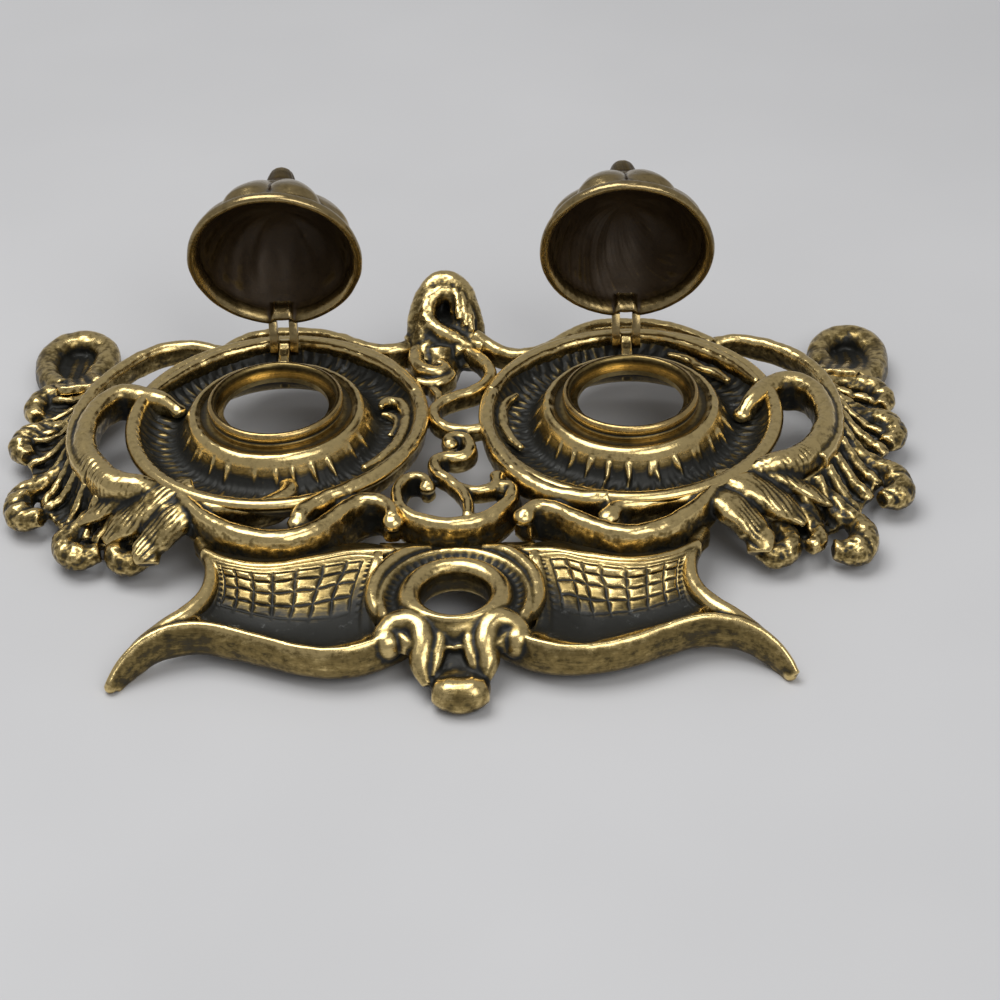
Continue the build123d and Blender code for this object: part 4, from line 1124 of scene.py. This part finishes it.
def ramp_node(tree, value, stops, kind="EASE"):
    """Colours over a value from 0 to 1, as (value, colour) stops."""
    node = add_node(tree, "ShaderNodeValToRGB")
    node.color_ramp.interpolation = kind
    while len(node.color_ramp.elements) < len(stops):
        node.color_ramp.elements.new(0.5)
    for element, (place, colour) in zip(node.color_ramp.elements, stops):
        element.position = place
        element.color = (*colour, 1)
    tree.links.new(value, node.inputs[0])
    return node.outputs[0]


def patina_group():
    """Aged brass: from black-green tarnish in the hollows over olive brown to rubbed gold."""
    group = bpy.data.node_groups.new("aged brass", "ShaderNodeTree")
    for name, value in (("Wear_and_shade", 0.5), ("Edge", 0.5), ("Mottle", 0.35), ("Scratches", 0.3),
                        ("Residue", 0.3)):
        socket(group, name, "NodeSocketFloat", "INPUT", value)
    for name in METAL_COLOURS:
        socket(group, name, "NodeSocketColor", "INPUT")
    socket(group, "Color", "NodeSocketColor", "OUTPUT")
    for name in ("Roughness", "Metallic", "Height"):
        socket(group, name, "NodeSocketFloat", "OUTPUT")
    link = group.links.new
    inputs = add_node(group, "NodeGroupInput").outputs
    outputs = add_node(group, "NodeGroupOutput").inputs

    def times(a, b):
        return sum_node(group, "MULTIPLY", a, b)

    def plus(a, b, clamp=False):
        return sum_node(group, "ADD", a, b, clamp)

    def less(a, b):
        return sum_node(group, "SUBTRACT", a, b)

    def step(value, low, high, to_low=0.0, to_high=1.0):
        node = add_node(group, "ShaderNodeMapRange", interpolation_type="SMOOTHSTEP")
        for key, level in (("From Min", low), ("From Max", high), ("To Min", to_low),
                           ("To Max", to_high)):
            node.inputs[key].default_value = level
        link(value, node.inputs["Value"])
        return node.outputs[0]

    def mix(factor, a, b, blend="MIX"):
        node = add_node(group, "ShaderNodeMix", data_type="RGBA", blend_type=blend)
        for slot, value in ((0, factor), (6, a), (7, b)):
            if isinstance(value, bpy.types.NodeSocket):
                link(value, node.inputs[slot])
            else:
                node.inputs[slot].default_value = value
        return node.outputs[2]

    place = add_node(group, "ShaderNodeTexCoord").outputs["Object"]
    broad = noise_node(group, place, 60, 3)
    spots = noise_node(group, place, 520, 6, 0.7)
    pits = noise_node(group, place, 1600, 3, 0.6)
    lines = noise_node(group, place, 190, 5, 0.75, (1.0, 9.0, 9.0))
    cross_lines = noise_node(group, place, 170, 4, 0.7, (8.0, 1.4, 3.0))
    uneven = plus(times(less(broad, 0.5), 1.3), times(less(spots, 0.5), 0.6))
    uneven = plus(uneven, times(less(lines, 0.5), 1.4))
    worn_and_shaded = plus(inputs["Wear_and_shade"], times(uneven, inputs["Mottle"]))
    worn_and_shaded = plus(worn_and_shaded, times(less(inputs["Edge"], 0.5), 0.3), clamp=True)
    # tarnish, shade, brass and gold follow one another as the metal is rubbed, and as painted shade
    # darkens faces turned down
    colour = inputs["Tarnish"]
    for low, high, name in ((0.16, 0.36, "Shade"), (0.36, 0.64, "Brass"), (0.62, 0.95, "Gold")):
        colour = mix(step(worn_and_shaded, low, high), colour, inputs[name])
    scratch = times(less(sum_node(group, "MAXIMUM", lines, cross_lines), 0.6), inputs["Scratches"])
    tone = ramp_node(group, spots, [(0.25, (0.62, 0.6, 0.56)), (0.55, (1, 1, 1)),
                                    (0.8, (1.0, 0.96, 0.9))])
    colour = mix(1.0, colour, tone, "MULTIPLY")
    # pale polish left in some of the deepest grooves
    residue = times(step(noise_node(group, place, 150, 6, 0.8), 0.58, 0.7), step(worn_and_shaded, 0.26, 0.06))
    link(mix(times(residue, inputs["Residue"]), colour, (0.34, 0.35, 0.34, 1)), outputs["Color"])
    rough = plus(less(0.5, times(worn_and_shaded, 0.3)), times(less(spots, 0.5), 0.22))
    link(plus(rough, times(scratch, 0.5), clamp=True), outputs["Roughness"])
    link(step(worn_and_shaded, 0.22, 0.5, 0.45, 1.0), outputs["Metallic"])
    link(plus(plus(times(spots, 0.5), times(pits, 0.2)), scratch), outputs["Height"])
    return group


def brass_material(name, colours, wear_and_shade=None, mottle=0.4, scratches=0.3, residue=0.0, bump=0.25):
    """One finish of the inkstand. A given fixed level of wear and painted shade stands in where the
    piece has no such layer.
    """
    group = bpy.data.node_groups.get("aged brass") or patina_group()
    material = bpy.data.materials.new(name)
    material.use_nodes = True
    tree = material.node_tree
    tree.nodes.clear()
    node = add_node(tree, "ShaderNodeGroup", node_tree=group)
    for key, colour in zip(METAL_COLOURS, colours):
        node.inputs[key].default_value = (*colour, 1)
    for key, value in (("Mottle", mottle), ("Scratches", scratches), ("Residue", residue)):
        node.inputs[key].default_value = value
    if wear_and_shade is None:
        for key in ("Wear_and_shade", "Edge"):
            layer = add_node(tree, "ShaderNodeAttribute", attribute_name=key.lower())
            tree.links.new(layer.outputs["Fac"], node.inputs[key])
    else:
        node.inputs["Wear_and_shade"].default_value = wear_and_shade
    shader = add_node(tree, "ShaderNodeBsdfPrincipled")
    output = add_node(tree, "ShaderNodeOutputMaterial")
    dent = add_node(tree, "ShaderNodeBump")
    dent.inputs["Strength"].default_value = bump
    dent.inputs["Distance"].default_value = 0.0004
    for start, key, end, way in (
            (node, "Height", dent, "Height"), (dent, "Normal", shader, "Normal"),
            (node, "Color", shader, "Base Color"), (node, "Roughness", shader, "Roughness"),
            (node, "Metallic", shader, "Metallic"), (shader, "BSDF", output, "Surface")):
        tree.links.new(start.outputs[key], end.inputs[way])
    return material


def finish_piece(obj, material, body, node):
    """Colours a piece and hangs it on its body in place of its CAD node."""
    obj.data.materials.clear()
    obj.data.materials.append(material)
    soften(grind(obj))
    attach(obj, body)
    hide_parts(node)


# ------------------------------------------------------------------ settings
class INKSTAND_PG_finish(bpy.types.PropertyGroup):
    """Colours of the aged brass."""
    tarnish: FloatVectorProperty(
        name="Tarnish", description="Colour left in the deepest hollows", subtype="COLOR",
        size=3, min=0, max=1, default=(0.012, 0.012, 0.009))
    shade: FloatVectorProperty(
        name="Shade", description="Colour of the unrubbed faces", subtype="COLOR",
        size=3, min=0, max=1, default=(0.070, 0.054, 0.025))
    brass: FloatVectorProperty(
        name="Brass", description="Colour of the lightly rubbed metal", subtype="COLOR",
        size=3, min=0, max=1, default=(0.27, 0.197, 0.075))
    gold: FloatVectorProperty(
        name="Gold", description="Colour of the crests that hands rub", subtype="COLOR",
        size=3, min=0, max=1, default=(0.76, 0.58, 0.26))
    scratches: FloatProperty(
        name="Scratches", description="Depth of the fine scratches", subtype="FACTOR",
        min=0, max=1, default=0.3)


class INKSTAND_PG_stage(bpy.types.PropertyGroup):
    """The table and its light."""
    floor_size: FloatProperty(
        name="Table Size", description="Side of the square table top", unit="LENGTH",
        subtype="DISTANCE", min=0.5, default=4.0)
    floor_colour: FloatVectorProperty(
        name="Table Colour", description="Colour of the pale table top", subtype="COLOR",
        size=3, min=0, max=1, default=(0.60, 0.60, 0.605))
    key_power: FloatProperty(
        name="Key Light", description="Power of the large soft lamp", unit="POWER",
        min=0, default=8.0)
    fill_power: FloatProperty(
        name="Fill Light", description="Power of the soft lamp behind", unit="POWER",
        min=0, default=4.2)


def finish_colours(**changes):
    """The four colours of the finish, some of them changed for one material."""
    settings = bpy.context.scene.inkstand_finish
    return [changes.get(key, tuple(getattr(settings, key)))
            for key in ("tarnish", "shade", "brass", "gold")]


# ------------------------------------------------------------------ operators
class INKSTAND_OT_stage(bpy.types.Operator):
    """Lay the pale table top, hang the soft lamps and set up the camera"""
    bl_idname = "inkstand.stage"
    bl_label = "Stage"

    def execute(self, context):
        settings = context.scene.inkstand_stage
        deselect()
        bpy.ops.mesh.primitive_plane_add(size=settings.floor_size, location=(0, 0.4, 0))
        floor = context.object
        floor.name = "table_top"
        bpy.ops.object.transform_apply(location=True, rotation=True, scale=True)
        floor.data.materials.append(self.table_material(settings))
        self.lamp("key_lamp", (-0.3, 0.1, 1.1), 0.8, settings.key_power)
        self.lamp("fill_lamp", (0.45, -0.7, 0.9), 0.7, settings.fill_power)
        world = bpy.data.worlds.new("room")
        world.use_nodes = True
        background = world.node_tree.nodes["Background"]
        background.inputs["Color"].default_value = (0.9, 0.9, 0.92, 1)
        background.inputs["Strength"].default_value = 0.36
        context.scene.world = world
        context.scene.view_settings.view_transform = "Standard"
        self.camera(context)
        return {"FINISHED"}

    def lamp(self, name, place, size, power):
        deselect()
        bpy.ops.object.light_add(type="AREA", location=place)
        lamp = bpy.context.object
        lamp.name = name
        lamp.data.size = size
        lamp.data.energy = power
        away = Vector(place) - Vector((0, 0.02, 0))
        lamp.rotation_euler = away.to_track_quat("Z", "Y").to_euler()

    def camera(self, context):
        """The camera at the photograph's angle: 86.4 mm lens, 36.3 degrees down."""
        yaw, pitch, roll = (math.radians(a) for a in (-1.360, 36.258, -1.966))
        turn = Matrix.Rotation(yaw, 3, "Z").transposed()
        ahead = Vector((0, math.cos(pitch), -math.sin(pitch)))
        above = Vector((0, math.sin(pitch), math.cos(pitch)))
        right = math.cos(roll) * Vector((1, 0, 0)) + math.sin(roll) * above
        above = -math.sin(roll) * Vector((1, 0, 0)) + math.cos(roll) * above
        place = turn @ Vector((11.89, -543.41, 389.11)) + Vector((0, WELL_Y, 0))
        deselect()
        bpy.ops.object.camera_add()
        camera = context.object
        axes = Matrix((turn @ right, turn @ above, -(turn @ ahead))).transposed().to_4x4()
        camera.matrix_world = Matrix.Translation(place * MM) @ axes
        camera.data.sensor_width = 36
        camera.data.lens = 86.4
        context.scene.camera = camera

    def table_material(self, settings):
        """A pale plastic-smooth table top with faint smudges and hair scratches."""
        material = bpy.data.materials.new("pale table top")
        material.use_nodes = True
        tree = material.node_tree
        shader = tree.nodes["Principled BSDF"]
        place = add_node(tree, "ShaderNodeTexCoord").outputs["Object"]
        smudge = noise_node(tree, place, 6, 3)
        r, g, b = settings.floor_colour
        colour = ramp_node(tree, smudge, [(0.3, (r * 0.95, g * 0.95, b * 0.95)), (0.7, (r, g, b))])
        tree.links.new(colour, shader.inputs["Base Color"])
        shader.inputs["Roughness"].default_value = 0.5
        shader.inputs["Specular IOR Level"].default_value = 0.25
        return material


class INKSTAND_OT_casting(bpy.types.Operator):
    """Model the pierced casting: dishes, scrolls, shells, tray, crest and feet"""
    bl_idname = "inkstand.casting"
    bl_label = "Brass Casting"

    def execute(self, context):
        pieces = [make_front(), make_crest(), make_scrolls("middle")]
        for side_name in SIDES:
            for make in (make_dish, make_lug, make_scrolls, make_shell, make_rear_foot, make_tray):
                pieces.append(make(side_name))
        weather(pieces)
        material = brass_material("aged cast brass", finish_colours(), mottle=0.45, residue=0.35,
                                  scratches=context.scene.inkstand_finish.scratches)
        for obj in pieces:
            finish_piece(obj, material, "stand", "base_casting")
        return {"FINISHED"}


class INKSTAND_OT_lids(bpy.types.Operator):
    """Model the two gadrooned lids, standing open"""
    bl_idname = "inkstand.lids"
    bl_label = "Lids"

    def execute(self, context):
        material = brass_material("dull lid brass", finish_colours(
            tarnish=(0.040, 0.023, 0.008), shade=(0.078, 0.049, 0.017), brass=(0.17, 0.122, 0.050),
            gold=(0.40, 0.30, 0.14)), mottle=0.25)
        for side_name in SIDES:
            obj = make_lid(side_name)
            weather([obj])
            finish_piece(obj, material, side_name + "_lid", side_name + "_lid")
        return {"FINISHED"}


class INKSTAND_OT_collars(bpy.types.Operator):
    """Turn the two collars and finish the hinge pins"""
    bl_idname = "inkstand.collars"
    bl_label = "Collars and Pins"

    def execute(self, context):
        colours = finish_colours(gold=(0.55, 0.39, 0.16))
        material = brass_material("satin collar brass", colours, mottle=0.25)
        for side_name in SIDES:
            obj = make_collar(side_name)
            weather([obj])
            finish_piece(obj, material, "stand", side_name + "_well_collar")
        pin_material = brass_material("dark pin brass", finish_colours(), wear_and_shade=0.42, mottle=0.3)
        for side_name in SIDES:
            pin = frame["nodes"][side_name + "_hinge_pin"]
            pin.data.materials.clear()
            pin.data.materials.append(pin_material)
        return {"FINISHED"}


class INKSTAND_PT_panel(bpy.types.Panel):
    """Builds the inkstand piece by piece"""
    bl_label = "Brass Inkstand"
    bl_idname = "INKSTAND_PT_panel"
    bl_space_type = "VIEW_3D"
    bl_region_type = "UI"
    bl_category = "Inkstand"

    def draw(self, context):
        layout = self.layout
        for operator in OPERATORS:
            layout.operator(operator.bl_idname)
        for group in (context.scene.inkstand_finish, context.scene.inkstand_stage):
            box = layout.box()
            for name in group.bl_rna.properties.keys():
                if name not in ("rna_type", "name"):
                    box.prop(group, name)


OPERATORS = (INKSTAND_OT_stage, INKSTAND_OT_casting, INKSTAND_OT_lids, INKSTAND_OT_collars)
CLASSES = (INKSTAND_PG_finish, INKSTAND_PG_stage, *OPERATORS, INKSTAND_PT_panel)


def register():
    for cls in CLASSES:
        bpy.utils.register_class(cls)
    bpy.types.Scene.inkstand_finish = PointerProperty(type=INKSTAND_PG_finish)
    bpy.types.Scene.inkstand_stage = PointerProperty(type=INKSTAND_PG_stage)


def unregister():
    del bpy.types.Scene.inkstand_stage
    del bpy.types.Scene.inkstand_finish
    for cls in reversed(CLASSES):
        bpy.utils.unregister_class(cls)


def main():
    register()
    bpy.ops.inkstand.stage()
    bpy.ops.inkstand.casting()
    bpy.ops.inkstand.lids()
    bpy.ops.inkstand.collars()
    for name in SECTIONS:
        if name in bpy.data.objects:
            bpy.data.objects.remove(bpy.data.objects[name])


if __name__ == "__main__":
    main()
